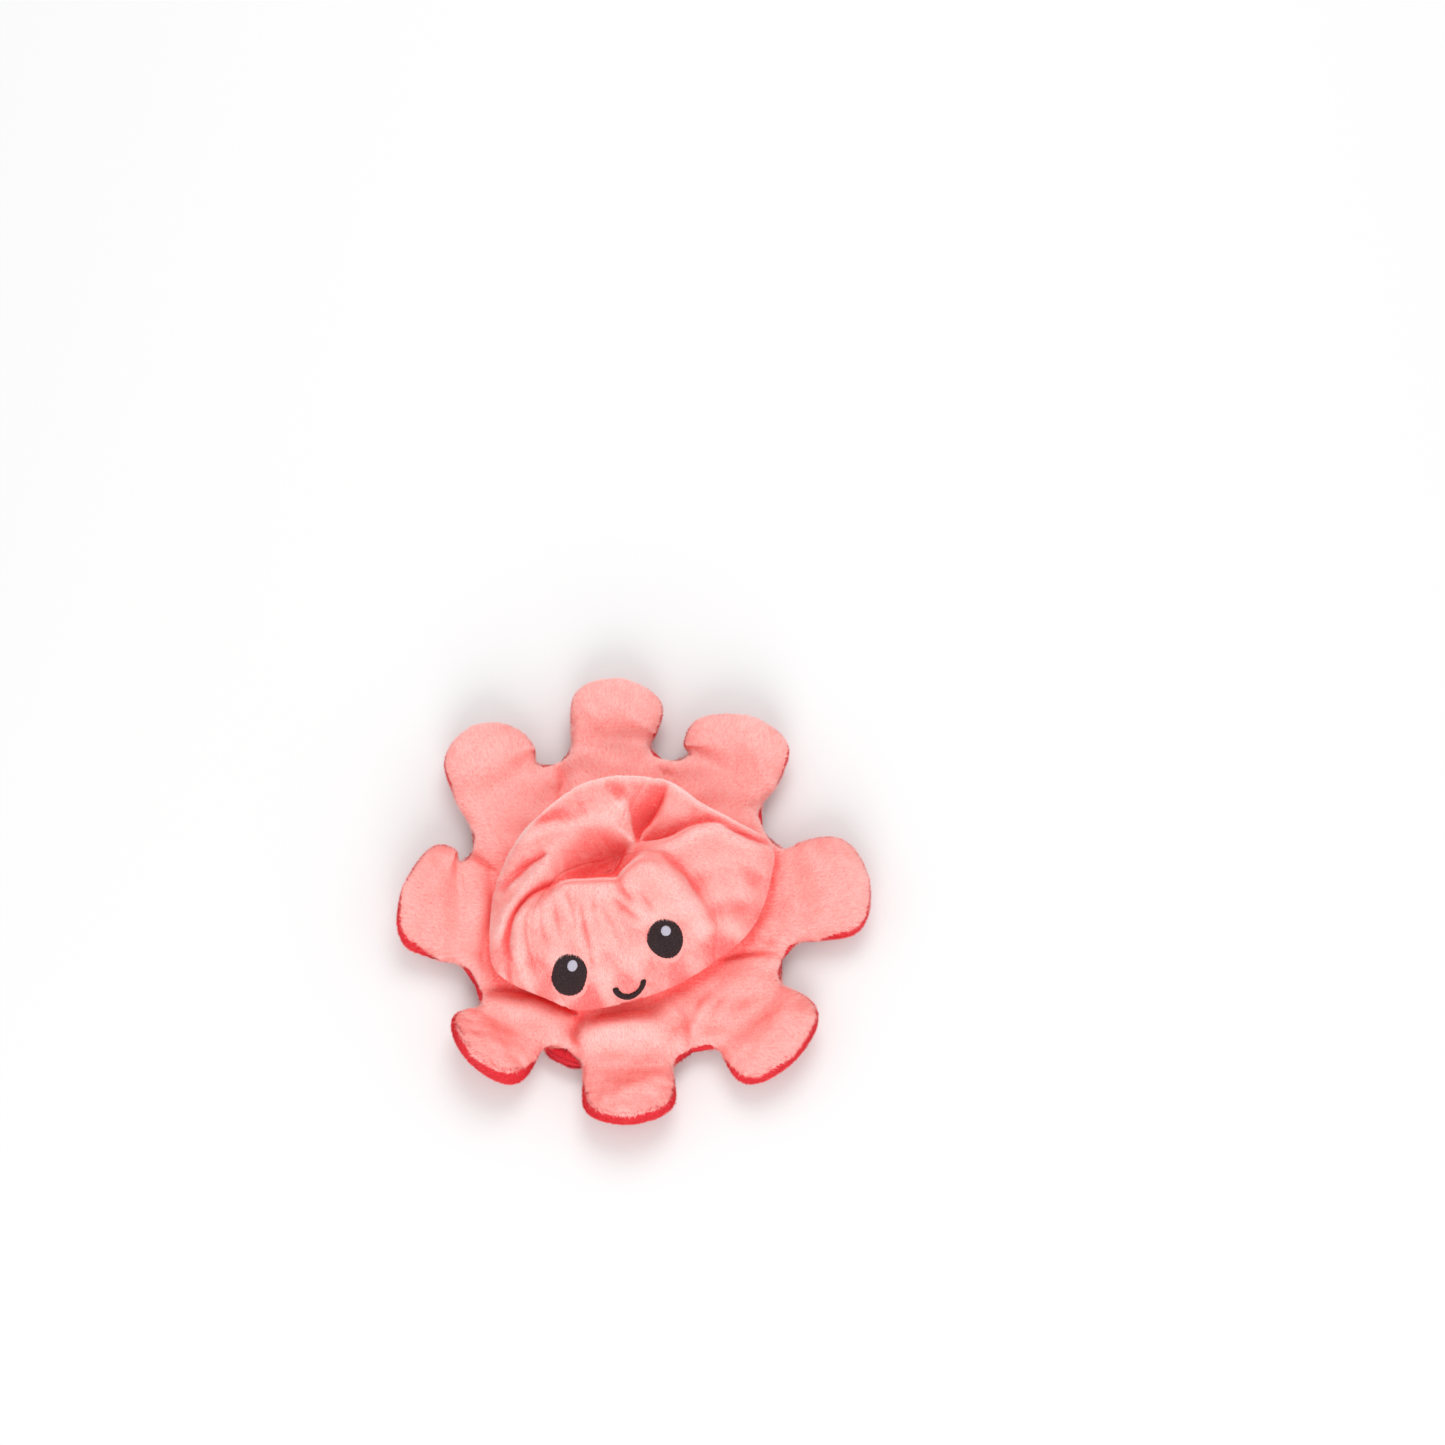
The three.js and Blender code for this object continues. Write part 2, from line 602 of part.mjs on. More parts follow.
/** A shape as a prism, which reaches through the cloth along the normal of a tilted plane at a place. */
function prism(shape, place, tilt) {
  const depth = 28;
  const geometry = new THREE.ExtrudeGeometry(shape, { depth, bevelEnabled: false, curveSegments: 4 });
  geometry.translate(0, 0, -depth / 2);
  geometry.rotateX(radians(tilt));
  geometry.translate(...place);
  return solidOf(geometry);
}

/** An oval with its centre at a place in its own plane. */
function ellipse({ width, height }, [x, y] = [0, 0]) {
  const curve = new THREE.EllipseCurve(x, y, width / 2, height / 2);
  return new THREE.Shape(curve.getPoints(18).slice(1));
}

/** Part of a ring, with round ends, which starts at an angle in degrees. */
function arc({ radius, stroke, sweep }, from) {
  const start = radians(from);
  const end = radians(from + sweep);
  const shape = new THREE.Shape();
  shape.absarc(0, 0, radius + stroke / 2, start, end, false);
  shape.absarc(Math.cos(end) * radius, Math.sin(end) * radius, stroke / 2, end, end + Math.PI, false);
  shape.absarc(0, 0, radius - stroke / 2, end, start, true);
  shape.absarc(Math.cos(start) * radius, Math.sin(start) * radius, stroke / 2, start + Math.PI, start, false);
  return shape;
}

/** Eyes, glints and mouth stitched on a gore, whose surface is given for a depth into the cloth. */
function addFace(prefix, face, mouthName, surface) {
  const layer = (from, thickness) => solidOf(between(surface(-from - thickness), surface(-from)));
  const stitches = layer(THREAD_GAP, THREAD);
  const highlights = layer(2 * THREAD_GAP + THREAD, GLINT.thickness);
  face.eyes.forEach((place, i) => {
    const side = ["left", "right"][i];
    const eye = prism(ellipse(EYE), place, face.eyeTilt).intersect(stitches);
    const glint = prism(ellipse(GLINT, face.glint), place, face.eyeTilt).intersect(highlights);
    add(`${prefix}_${side}_eye`, geometryOf(eye), BLACK, 0.6);
    add(`${prefix}_${side}_eye_glint`, geometryOf(glint), WHITE, 0.6);
  });
  const mouth = prism(arc(MOUTH, face.mouthFrom), face.mouth, face.mouthTilt).intersect(stitches);
  add(`${prefix}_${mouthName}`, geometryOf(mouth), BLACK, 0.6);
}

addFace("face", FACE, "smile", (depth) => headSurface(0, depth));
addFace("hidden_face", HIDDEN_FACE, "frown", (depth) => hollowSurface(0, depth));

export default octopus;
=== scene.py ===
"""A reversible octopus soft toy, lying coral side out with its head slumped into a dimple.

Sizes are millimetres, measured from the centre of the ring of arms, and become metres in the part's
frame when a mesh is made. +Z is up and the face looks towards -Y.
"""

import logging
from dataclasses import dataclass
from typing import Callable, Iterable

import bpy
import numpy as np
from mathutils import Matrix
from numpy.lib.stride_tricks import sliding_window_view


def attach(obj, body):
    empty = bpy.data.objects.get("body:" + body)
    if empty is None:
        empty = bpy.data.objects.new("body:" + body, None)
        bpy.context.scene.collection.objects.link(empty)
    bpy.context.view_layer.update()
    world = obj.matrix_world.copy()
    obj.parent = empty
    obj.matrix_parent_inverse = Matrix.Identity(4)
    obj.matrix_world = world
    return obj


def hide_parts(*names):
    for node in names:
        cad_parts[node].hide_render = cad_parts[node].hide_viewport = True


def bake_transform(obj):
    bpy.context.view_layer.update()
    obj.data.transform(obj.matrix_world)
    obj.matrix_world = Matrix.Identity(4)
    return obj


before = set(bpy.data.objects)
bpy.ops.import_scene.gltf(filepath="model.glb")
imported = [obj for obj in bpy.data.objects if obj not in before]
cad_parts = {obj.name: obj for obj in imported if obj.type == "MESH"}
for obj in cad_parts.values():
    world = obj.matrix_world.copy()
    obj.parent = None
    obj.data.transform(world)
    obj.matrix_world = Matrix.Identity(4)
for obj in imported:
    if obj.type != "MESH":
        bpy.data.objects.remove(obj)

Array = np.ndarray
Formula = Callable[[Array], Array]
Pair = tuple[float, float]
Triple = tuple[float, float, float]
Four = tuple[float, float, float, float]
Colour = Triple
LOG = logging.getLogger("octopus")

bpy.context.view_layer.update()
RING_CENTRE = np.array([-1.4, -2.7, 0.0])
MILLIMETRE = 0.001
KEYS_PER_MILLIMETRE = 1e4
TINY = 1e-6
NEVER_ZERO = 1e-12
SKIRT_BODY = "head_and_skirt"
# the way from which painted light falls on the pile, close to the over lamp's; the facing at which it turns
# from painted light to painted shade; and the way to which the crimson rolls round the rims
PAINTED_LIGHT_WAY = np.array([0.3, 0.67, 0.68])
PAINTED_LIGHT_MIDDLE = 0.6
ROLL_TOWARDS = np.array([-0.5, -0.87])
GORE_NAMES = ("front", "front_right", "back_right", "back", "back_left", "front_left")
BAKE_MAP = "OFBake"
MAP_EDGE = 0.01
# left edge and width of the strips that a cloth's outside and inside have on the bake's map
OUTSIDE_STRIP = (MAP_EDGE, 0.6)
INSIDE_STRIP = (0.65, 0.34)


# Shapes in numbers


def smooth(x: Array | float) -> Array:
    """A step from 0 to 1 with level ends: 3x² - 2x³ between them.

    Args:
        x: Where on the step, as a share.

    Returns:
        The step's height there.
    """
    x = np.clip(x, 0.0, 1.0)
    return x * x * (3.0 - 2.0 * x)


def past(share: Array, start: float) -> Array:
    """How far shares lie between a start and the whole, from 0 to 1."""
    return np.clip((share - start) / (1 - start), 0, 1)


def bells(plan: Array, centres: Array, reach: float) -> Array:
    """The weight of each centre at places in plan: a bell of the distance."""
    distance = ((plan[..., None, :] - centres) ** 2).sum(-1)
    return np.exp(-distance / (2 * reach**2))


def stuffed_height(plan: Array, given: tuple[Triple, ...], reach: float) -> Array:
    """Height of stuffed cloth: the mean of given heights, each weighed by a bell of its distance."""
    known = np.array(given, float)
    weights = bells(plan, known[:, :2], reach) + NEVER_ZERO
    return (weights * known[:, 2]).sum(-1) / weights.sum(-1)


def unit(vectors: Array) -> Array:
    """Vectors drawn to a length of one along their last axis."""
    return vectors / np.maximum(np.linalg.norm(vectors, axis=-1, keepdims=True), NEVER_ZERO)


def towards(degrees: float) -> Array:
    """The level unit vector at a bearing in degrees from +X."""
    return np.array([np.cos(np.radians(degrees)), np.sin(np.radians(degrees))])


def raised(plan: Array, height: Array) -> Array:
    """Points from their places in plan and their heights."""
    return np.concatenate([plan, np.broadcast_to(height, plan.shape[:-1])[..., None]], axis=-1)


def curve_through(knots: Array, steps: int, closed: bool = False) -> Array:
    """Points on a smooth line through knots.

    Each stretch is the cubic whose slope at a knot is half the way between the knot's neighbours.

    Args:
        knots: The places that the line passes, one to a row.
        steps: Points on each stretch.
        closed: Whether the line comes back to its start.

    Returns:
        The points, one to a row.
    """
    if closed:
        around = np.concatenate([knots[-1:], knots, knots[:2]])
    else:
        around = np.concatenate([2 * knots[:1] - knots[1:2], knots, 2 * knots[-1:] - knots[-2:-1]])
    a, b, c, d = (around[i : len(around) - 3 + i][:, None] for i in range(4))
    t = (np.arange(steps) / steps)[None, :, None]
    bend, twist = 2 * a - 5 * b + 4 * c - d, 3 * b - a - 3 * c + d
    line = 0.5 * (2 * b + (c - a) * t + bend * t**2 + twist * t**3)
    line = line.reshape(-1, knots.shape[1])
    return line if closed else np.concatenate([line, knots[-1:]])


@dataclass(frozen=True)
class Ripple:
    """The unevenness of stuffed cloth, as waves that run in drawn directions."""

    size: float
    depth: float
    seed: int
    waves: int = 20
    frequencies: Pair = (0.6, 1.5)

    def at(self, points: Array) -> Array:
        """The height of the waves: depth times the sum of cosines of drawn lengths, directions and phases.

        Args:
            points: Places, with their coordinates along the last axis.

        Returns:
            The height at each place, whose usual size is depth.
        """
        rng = np.random.default_rng(self.seed)
        ways = unit(rng.normal(size=(self.waves, points.shape[-1])))
        ways *= 2 * np.pi / self.size * rng.uniform(*self.frequencies, (self.waves, 1))
        phases = rng.uniform(0, 2 * np.pi, self.waves)
        return self.depth * np.cos(points @ ways.T + phases).sum(-1) * np.sqrt(2 / self.waves)


@dataclass(frozen=True)
class Fold:
    """A fold of cloth along a line, whose knots give x, y and how far the cloth rises there."""

    path: tuple[Triple, ...]
    left: float
    right: float
    power: float = 2.0

    def at(self, plan: Array) -> Array:
        """The fold's height: its rise on the line's nearest point, times exp(-(distance / width)^power).

        Args:
            plan: Places in plan, with x and y along the last axis.

        Returns:
            The height that the fold adds at each place.
        """
        line = curve_through(np.array(self.path, float), 5)
        reach = 4 * max(self.left, self.right)
        near = ((plan > line[:, :2].min(0) - reach) & (plan < line[:, :2].max(0) + reach)).all(-1)
        height = np.zeros(plan.shape[:-1])
        step = np.diff(line, axis=0)
        out = plan[near][:, None] - line[:-1, :2]
        share = np.clip((out * step[:, :2]).sum(-1) / (step[:, :2] ** 2).sum(-1), 0, 1)
        distance = np.linalg.norm(out - share[..., None] * step[:, :2], axis=-1)
        nearest = distance.argmin(-1)
        chosen = np.arange(len(nearest)), nearest
        rise = line[nearest, 2] + share[chosen] * step[nearest, 2]
        turn = step[nearest, 0] * out[chosen][:, 1] - step[nearest, 1] * out[chosen][:, 0]
        width = np.where(turn > 0, self.left, self.right)
        height[near] = rise * np.exp(-((distance[chosen] / width) ** self.power))
        return height


def folded(plan: Array, folds: tuple[Fold, ...]) -> Array:
    """The height that folds add: what the rising ones add together, and the deepest of the sinking ones."""
    heights = np.stack([fold.at(plan) for fold in folds])
    return heights.clip(0, None).sum(0) + heights.clip(None, 0).min(0)


@dataclass(frozen=True)
class Drift:
    """How places in plan move: each knot gives x, y and the way it moves, which fades out round it."""

    knots: tuple[Four, ...]
    reach: float = 7.5
    rest: float = 0.25

    def at(self, points: Array) -> Array:
        """The points moved by the mean of the knots' ways, where rest is the weight of staying."""
        knots = np.array(self.knots, float)
        weights = bells(points[..., :2], knots[:, :2], self.reach)
        moved = points.copy()
        moved[..., :2] += (weights @ knots[:, 2:]) / (weights.sum(-1, keepdims=True) + self.rest)
        return moved


def between(corners: Iterable[Array], u: Array, v: Array) -> Array:
    """Values inside cells, from the values at the corners in their order round the cell."""
    p, q, r, s = corners
    return (p * (1 - u) + q * u) * (1 - v) + (s * (1 - u) + r * u) * v


@dataclass(frozen=True)
class Relief:
    """Heights at the crossings of a square net over the plan."""

    corner: Pair
    step: float
    heights: Array

    @classmethod
    def of(cls, formula: Formula, low: float, high: float, step: float) -> "Relief":
        """Samples a formula's heights over a square.

        Args:
            formula: Gives heights for places in plan.
            low: The square's least x and y.
            high: Its greatest x and y.
            step: Distance between the net's lines.

        Returns:
            The relief.
        """
        line = np.arange(low, high + step, step)
        crossings = np.stack(np.meshgrid(line, line, indexing="ij"), axis=-1)
        return cls((low, low), step, formula(crossings))

    def at(self, plan: Array) -> Array:
        """Heights at places, each from its square's four corners."""
        place = ((plan - self.corner) / self.step).clip(0, np.array(self.heights.shape) - 1.001)
        x, y = np.floor(place).astype(int).T
        u, v = (place - np.floor(place)).T
        corners = (self.heights[x + right, y + up] for right, up in ((0, 0), (1, 0), (1, 1), (0, 1)))
        return between(corners, u, v).T

    def passed(self, count: int, along: Formula) -> "Relief":
        """The relief after a pass along x and one along y, on lines made longer by a count at both ends."""
        heights = self.heights
        for axis in (0, 1):
            wider = np.pad(np.moveaxis(heights, axis, -1), ((0, 0), (count, count)), mode="edge")
            heights = np.moveaxis(along(wider), -1, axis)
        return Relief(self.corner, self.step, heights)

    def smoothed(self, reach: float) -> "Relief":
        """The relief after a mean by a bell of the distance."""
        count = int(3 * reach / self.step)
        bell = np.exp(-((np.arange(-count, count + 1) * self.step / reach) ** 2) / 2)
        bell /= bell.sum()

        def mean(lines: Array) -> Array:
            """Each line's means."""
            return np.array([np.convolve(line, bell, mode="valid") for line in lines])

        return self.passed(count, mean)

    def lowered(self, reach: float) -> "Relief":
        """The relief with each height replaced by the least within a square of twice the reach."""
        count = int(np.ceil(reach / self.step))
        return self.passed(count, lambda lines: sliding_window_view(lines, 2 * count + 1, 1).min(-1))


# Sheets and meshes


CELL_CORNERS = (np.s_[:-1, :-1], np.s_[:-1, 1:], np.s_[1:, 1:], np.s_[1:, :-1])


@dataclass
class Sheet:
    """A surface on a grid of points. Its front is where columns turn to rows anticlockwise."""

    points: Array
    flipped: bool = False
    ringed: bool = False

    def slopes(self) -> tuple[Array, Array]:
        """How the points change from row to row and from column to column."""
        down = np.gradient(self.points, axis=0)
        if self.ringed:
            return down, (np.roll(self.points, -1, axis=1) - np.roll(self.points, 1, axis=1)) / 2
        return down, np.gradient(self.points, axis=1)

    def normals(self) -> Array:
        """The unit normals: across times down, where a row that is one point has its neighbour's mean."""
        down, across = self.slopes()
        normals = np.cross(across, down) * (-1 if self.flipped else 1)
        for end, beside in ((0, 1), (-1, -2)):
            if np.ptp(self.points[end], axis=0).max() < TINY:
                normals[end] = normals[beside].mean(axis=0)
        return unit(normals)

    def columns(self, first: int, last: int) -> "Sheet":
        """The columns from first to last, past the ring's end if need be."""
        picked = np.arange(first, last + 1) % self.points.shape[1]
        return Sheet(self.points[:, picked], self.flipped)

    def numbers(self) -> Array:
        """The points' numbers, with the first column's again at the end of a ring."""
        rows, columns = self.points.shape[:2]
        numbers = np.arange(rows * columns).reshape(rows, columns)
        return np.concatenate([numbers, numbers[:, :1]], axis=1) if self.ringed else numbers

    def triangles(self) -> Array:
        """Two triangles for each cell, as numbers of points."""
        a, b, c, d = (self.numbers()[corner] for corner in CELL_CORNERS)
        cells = np.stack([a, b, c, a, c, d], axis=-1).reshape(-1, 3)
        return cells[:, ::-1] if self.flipped else cells

    def border(self) -> Array:
        """Numbers of the points round the sheet's edges, as pairs in the order of the front's triangles."""
        numbers = self.numbers()
        sides = [numbers[0], numbers[-1, ::-1]]
        if not self.ringed:
            sides = [sides[0], numbers[:, -1], sides[1], numbers[::-1, 0]]
        pairs = np.concatenate([np.stack([line[:-1], line[1:]], axis=-1) for line in sides])
        return pairs[:, ::-1] if self.flipped else pairs


@dataclass
class Body:
    """Numbers for one mesh: points in millimetres, triangles, places on the bake's map and normals."""

    points: Array
    triangles: Array
    places: Array
    normals: Array | None = None


def grid_places(sheet: Sheet, left: float, width: float) -> Array:
    """Places on the bake's map: the columns run across a strip of it and the rows up."""
    rows, columns = sheet.points.shape[:2]
    across, up = np.meshgrid(np.linspace(0, 1, columns), np.linspace(0, 1, rows))
    return np.stack([left + width * across, MAP_EDGE + (1 - 2 * MAP_EDGE) * up], axis=-1).reshape(-1, 2)


def cloth(sheet: Sheet, inside: Array) -> Body:
    """A closed piece of cloth: a sheet, the same grid of points on its inside, and a strip round the edges.

    Args:
        sheet: The outside.
        inside: The inside's points, rows by columns.

    Returns:
        The closed shape, whose outside and inside lie side by side on the bake's map.
    """
    count = sheet.points.shape[0] * sheet.points.shape[1]
    front = sheet.triangles()
    edge = sheet.border()
    strip = np.concatenate(
        [
            np.stack([edge[:, 1], edge[:, 0], edge[:, 0] + count], axis=-1),
            np.stack([edge[:, 1], edge[:, 0] + count, edge[:, 1] + count], axis=-1),
        ]
    )
    return Body(
        np.concatenate([sheet.points.reshape(-1, 3), inside.reshape(-1, 3)]),
        np.concatenate([front, front[:, ::-1] + count, strip]),
        np.concatenate([grid_places(sheet, *OUTSIDE_STRIP), grid_places(sheet, *INSIDE_STRIP)]),
    )


def merged(body: Body) -> Body:
    """The body with points that coincide made one, and without the triangles that this closes up."""
    keys = np.round(body.points * KEYS_PER_MILLIMETRE).astype(np.int64)
    _, first, same = np.unique(keys, axis=0, return_index=True, return_inverse=True)
    corners = same.reshape(-1)[body.triangles]
    a, b, c = corners.T
    whole = (a != b) & (b != c) & (c != a)
    return Body(body.points[first], corners[whole], body.places[body.triangles[whole]].reshape(-1, 2))


def add_piece(name: str, body: Body, fabric: "Fabric") -> bpy.types.Object:
    """Makes a mesh object in the part's frame from a body's numbers.

    Args:
        name: The piece's name.
        body: Its numbers, with places by corner once merged and by point before.
        fabric: The fabric whose material the piece takes.

    Returns:
        The new object.
    """
    mesh = bpy.data.meshes.new(name)
    mesh.vertices.add(len(body.points))
    mesh.vertices.foreach_set("co", ((body.points + RING_CENTRE) * MILLIMETRE).astype(np.float32).ravel())
    mesh.loops.add(body.triangles.size)
    mesh.loops.foreach_set("vertex_index", body.triangles.astype(np.int32).ravel())
    mesh.polygons.add(len(body.triangles))
    mesh.polygons.foreach_set("loop_start", np.arange(0, body.triangles.size, 3, dtype=np.int32))
    mesh.update(calc_edges=True)
    mesh.shade_smooth()
    places = body.places
    if len(places) != body.triangles.size:
        places = places[body.triangles.ravel()]
    layer = mesh.uv_layers.new(name=BAKE_MAP)
    layer.uv.foreach_set("vector", places.astype(np.float32).ravel())
    if body.normals is not None:
        mesh.normals_split_custom_set_from_vertices(body.normals.astype(np.float32))
    piece = bpy.data.objects.new(name, mesh)
    bpy.context.collection.objects.link(piece)
    piece.data.materials.append(fabric.material)
    LOG.info("%s: %d triangles", name, len(body.triangles))
    return piece


# Pile


class Spots:
    """Places drawn evenly over a sheet's area."""

    def __init__(self, points: Array, density: float, rng: np.random.Generator) -> None:
        """Draws the cells and the places in them.

        Args:
            points: The sheet's points.
            density: Places to the square millimetre.
            rng: The drawing's generator.
        """
        a, b, c, d = self.corners(points)
        area = np.linalg.norm(np.cross(c - a, d - b), axis=-1) / 2
        count = int(area.sum() * density)
        cells = np.searchsorted(np.cumsum(area), rng.random(count) * area.sum())
        self.cell = cells.clip(0, len(area) - 1)
        self.share = rng.random((2, count, 1))

    @staticmethod
    def corners(grid: Array) -> Iterable[Array]:
        """A grid's values at each corner of its cells."""
        rows, columns = grid.shape[:2]
        return (grid[corner].reshape((rows - 1) * (columns - 1), -1) for corner in CELL_CORNERS)

    def values(self, grid: Array) -> Array:
        """A grid's values at the places."""
        return between((corner[self.cell] for corner in self.corners(grid)), *self.share)


@dataclass(frozen=True)
class Pile:
    """The short cut pile of plush: tapered blades that lean with the nap, in millimetres and degrees."""

    length: float
    width: float
    density: float
    lean: float
    scatter: float = 26.0
    rib: float = 0.0
    rib_pitch: float = 1.7
    rib_slant: float = 0.35
    lean_scatter: float = 6
    lean_limits: Pair = (5, 82)
    length_shares: Pair = (0.6, 1.15)
    half_width_shares: Pair = (0.35, 0.6)
    rooted: float = 0.15
    off_floor: float = 0.05
    cloth_light: float = 0.65
    shade_scatter: float = 0.16
    swirl: Ripple = Ripple(12, 8, 2)
    patches: Ripple = Ripple(9, 0.015, 1)
    quick_share: float = 0.25

    def on(self, sheet: Sheet, normals: Array, painted_shading: Array, nap: float, seed: int, bare: Formula) -> Body:
        """Blades of one triangle each, drawn evenly over the sheet's area.

        A blade stands on its root, leans from the normal by a drawn angle about the lean, and is turned
        in the sheet's plane from the nap by another.

        Args:
            sheet: The cloth that carries the pile.
            normals: The cloth's normals, rows by columns.
            painted_shading: Painted light and shade, given as how much paler than the middle colour the pile
                is, rows by columns.
            nap: 1 where the pile lies from the first row to the last, and -1 the other way.
            seed: Seed of the drawing.
            bare: Tells for places whether the cloth is bare there.

        Returns:
            The blades. Their place on the bake's map is their shade across, which is painted light and shade
            with random tone, and their height up.
        """
        rng = np.random.default_rng(seed)
        spots = Spots(sheet.points, self.density * (1.0), rng)
        root = spots.values(sheet.points)
        clothed = ~bare(root)
        root = root[clothed]
        upright = unit(spots.values(normals))[clothed]
        along = spots.values(sheet.slopes()[0])[clothed] * nap
        shade = spots.values(painted_shading)[clothed, 0]
        vertices, facing = self.blades(root, upright, along, rng)
        # the shade: painted light and shade, plus random tone, patches and the rib's stripes
        shade = shade + 0.5 + rng.normal(0, self.shade_scatter, len(root)) + self.patches.at(root)
        shade += self.rib * np.cos(2 * np.pi * (root[:, 1] + self.rib_slant * root[:, 0]) / self.rib_pitch)
        low, high = 2 * MAP_EDGE, 1 - 2 * MAP_EDGE
        heights = np.array([low, low, high])
        places = np.stack(np.broadcast_arrays(shade.clip(low, high)[:, None], heights), axis=-1)
        return Body(
            vertices.reshape(-1, 3),
            np.arange(3 * len(root)).reshape(-1, 3),
            places.reshape(-1, 2),
            np.repeat(facing, 3, axis=0).reshape(-1, 3),
        )

    def blades(
        self, root: Array, upright: Array, along: Array, rng: np.random.Generator
    ) -> tuple[Array, Array]:
        """The blades' corners, and the ways they face: between the cloth's normal and their own.

        Args:
            root: Where the blades stand.
            upright: The cloth's normals there.
            along: The nap's way there.
            rng: The drawing's generator.

        Returns:
            Three corners for each blade, and its normal.
        """
        count = len(root)
        along = unit(along - (along * upright).sum(-1, keepdims=True) * upright)
        aside = np.cross(along, upright)
        turn = np.radians(rng.normal(0, self.scatter, (count, 1)) + self.swirl.at(root)[:, None])
        cos, sin = np.cos(turn), np.sin(turn)
        along, aside = along * cos + aside * sin, aside * cos - along * sin
        lean = np.radians(np.clip(rng.normal(self.lean, self.lean_scatter, (count, 1)), *self.lean_limits))
        rise = upright * np.cos(lean) + along * np.sin(lean)
        half = self.width * rng.uniform(*self.half_width_shares, (count, 1))
        foot = root - upright * self.rooted
        tip = root + rise * self.length * rng.uniform(*self.length_shares, (count, 1))
        corners = np.stack([foot - aside * half, foot + aside * half, tip], axis=1)
        corners[..., 2] = np.maximum(corners[..., 2], self.off_floor)
        own = unit(np.cross(aside, rise))
        return corners, unit(upright * self.cloth_light + own * (1 - self.cloth_light))


def nowhere(points: Array) -> Array:
    """Tells that the cloth is bare at none of the places."""
    return np.zeros(len(points), bool)


# Finishes


Socket = bpy.types.NodeSocket
Inputs = dict[str | int, object]


class Nodes:
    """A node tree and short ways to add to it."""

    def __init__(self, tree: bpy.types.NodeTree) -> None:
        """Takes the tree and clears it."""
        self.tree = tree
        tree.nodes.clear()

    def fill(self, node: bpy.types.Node, inputs: Inputs) -> None:
        """Gives a node's inputs what they take: a socket's link or a constant."""
        for key, value in inputs.items():
            if isinstance(value, Socket):
                self.tree.links.new(value, node.inputs[key])
            else:
                node.inputs[key].default_value = value

    def add(self, kind: str, inputs: Inputs | None = None, **settings: object) -> bpy.types.Node:
        """Adds a node with its own settings and with its inputs filled."""
        node = self.tree.nodes.new(f"ShaderNode{kind}")
        for name, value in settings.items():
            setattr(node, name, value)
        self.fill(node, inputs or {})
        return node

    def given(self) -> bpy.types.Node:
        """Adds the node that holds a group's inputs."""
        return self.tree.nodes.new("NodeGroupInput")

    def give(self, **results: Socket) -> bpy.types.NodeTree:
        """Adds the node that takes a group's results, and gives the group."""
        self.fill(self.tree.nodes.new("NodeGroupOutput"), results)
        return self.tree

    def math(self, operation: str, *values: object) -> Socket:
        """Adds a sum of sockets and numbers and gives its result."""
        return self.add("Math", dict(enumerate(values)), operation=operation).outputs[0]

    def mix(self, share: object, first: object, second: object) -> Socket:
        """Adds a mix of two colours and gives its result, by the colour sockets' places."""
        return self.add("Mix", {0: share, 6: first, 7: second}, data_type="RGBA").outputs[2]

    def noise(self, place: Socket, scale: float, detail: float) -> Socket:
        """Adds a noise pattern at a place and gives its height."""
        return self.add("TexNoise", {"Vector": place, "Scale": scale, "Detail": detail}).outputs["Fac"]

    def object_place(self) -> Socket:
        """Adds the place in the object's own space."""
        return self.add("TexCoord").outputs["Object"]


def group_of(name: str, inputs: dict[str, str], outputs: dict[str, str]) -> Nodes:
    """A new shader node group with its named inputs and outputs and the kinds of their sockets."""
    tree = bpy.data.node_groups.new(name, "ShaderNodeTree")
    for way, sockets in (("INPUT", inputs), ("OUTPUT", outputs)):
        for key, kind in sockets.items():
            tree.interface.new_socket(name=key, in_out=way, socket_type=f"NodeSocket{kind}")
    return Nodes(tree)


def cloth_group() -> bpy.types.NodeTree:
    """The knit under the pile: two sizes of noise shade the colour and raise the surface."""
    nodes = group_of("plush_cloth", {"Deep": "Color", "Lit": "Color"}, {"Color": "Color", "Height": "Float"})
    given = nodes.given()
    place = nodes.object_place()
    patches = nodes.noise(place, scale=70, detail=3)
    grain = nodes.noise(place, scale=900, detail=2)
    share = nodes.math("ADD", nodes.math("MULTIPLY", patches, 0.7), nodes.math("MULTIPLY", grain, 0.4))
    return nodes.give(Color=nodes.mix(share, given.outputs["Deep"], given.outputs["Lit"]), Height=grain)


def pile_group() -> bpy.types.NodeTree:
    """The pile's colour: from its root's to its tip's up a blade, and from full to pale by its shade, which
    carries painted light and shade as well as random tone.
    """
    colours = ("Root", "Full", "Tip", "Pale")
    nodes = group_of("plush_pile", {"Place": "Vector"} | dict.fromkeys(colours, "Color"), {"Color": "Color"})
    given = nodes.given()
    root, full, tip, pale = (given.outputs[colour] for colour in colours)
    parts = nodes.add("SeparateXYZ", {0: given.outputs["Place"]})
    twice = nodes.math("MULTIPLY", parts.outputs["X"], 2.0)
    lower = nodes.mix(nodes.math("MINIMUM", twice, 1.0), full, tip)
    tint = nodes.mix(nodes.math("MAXIMUM", nodes.math("SUBTRACT", twice, 1.0), 0.0), lower, pale)
    shaded = nodes.mix(nodes.math("MINIMUM", twice, 1.0), full, root)
    return nodes.give(Color=nodes.mix(parts.outputs["Y"], shaded, tint))


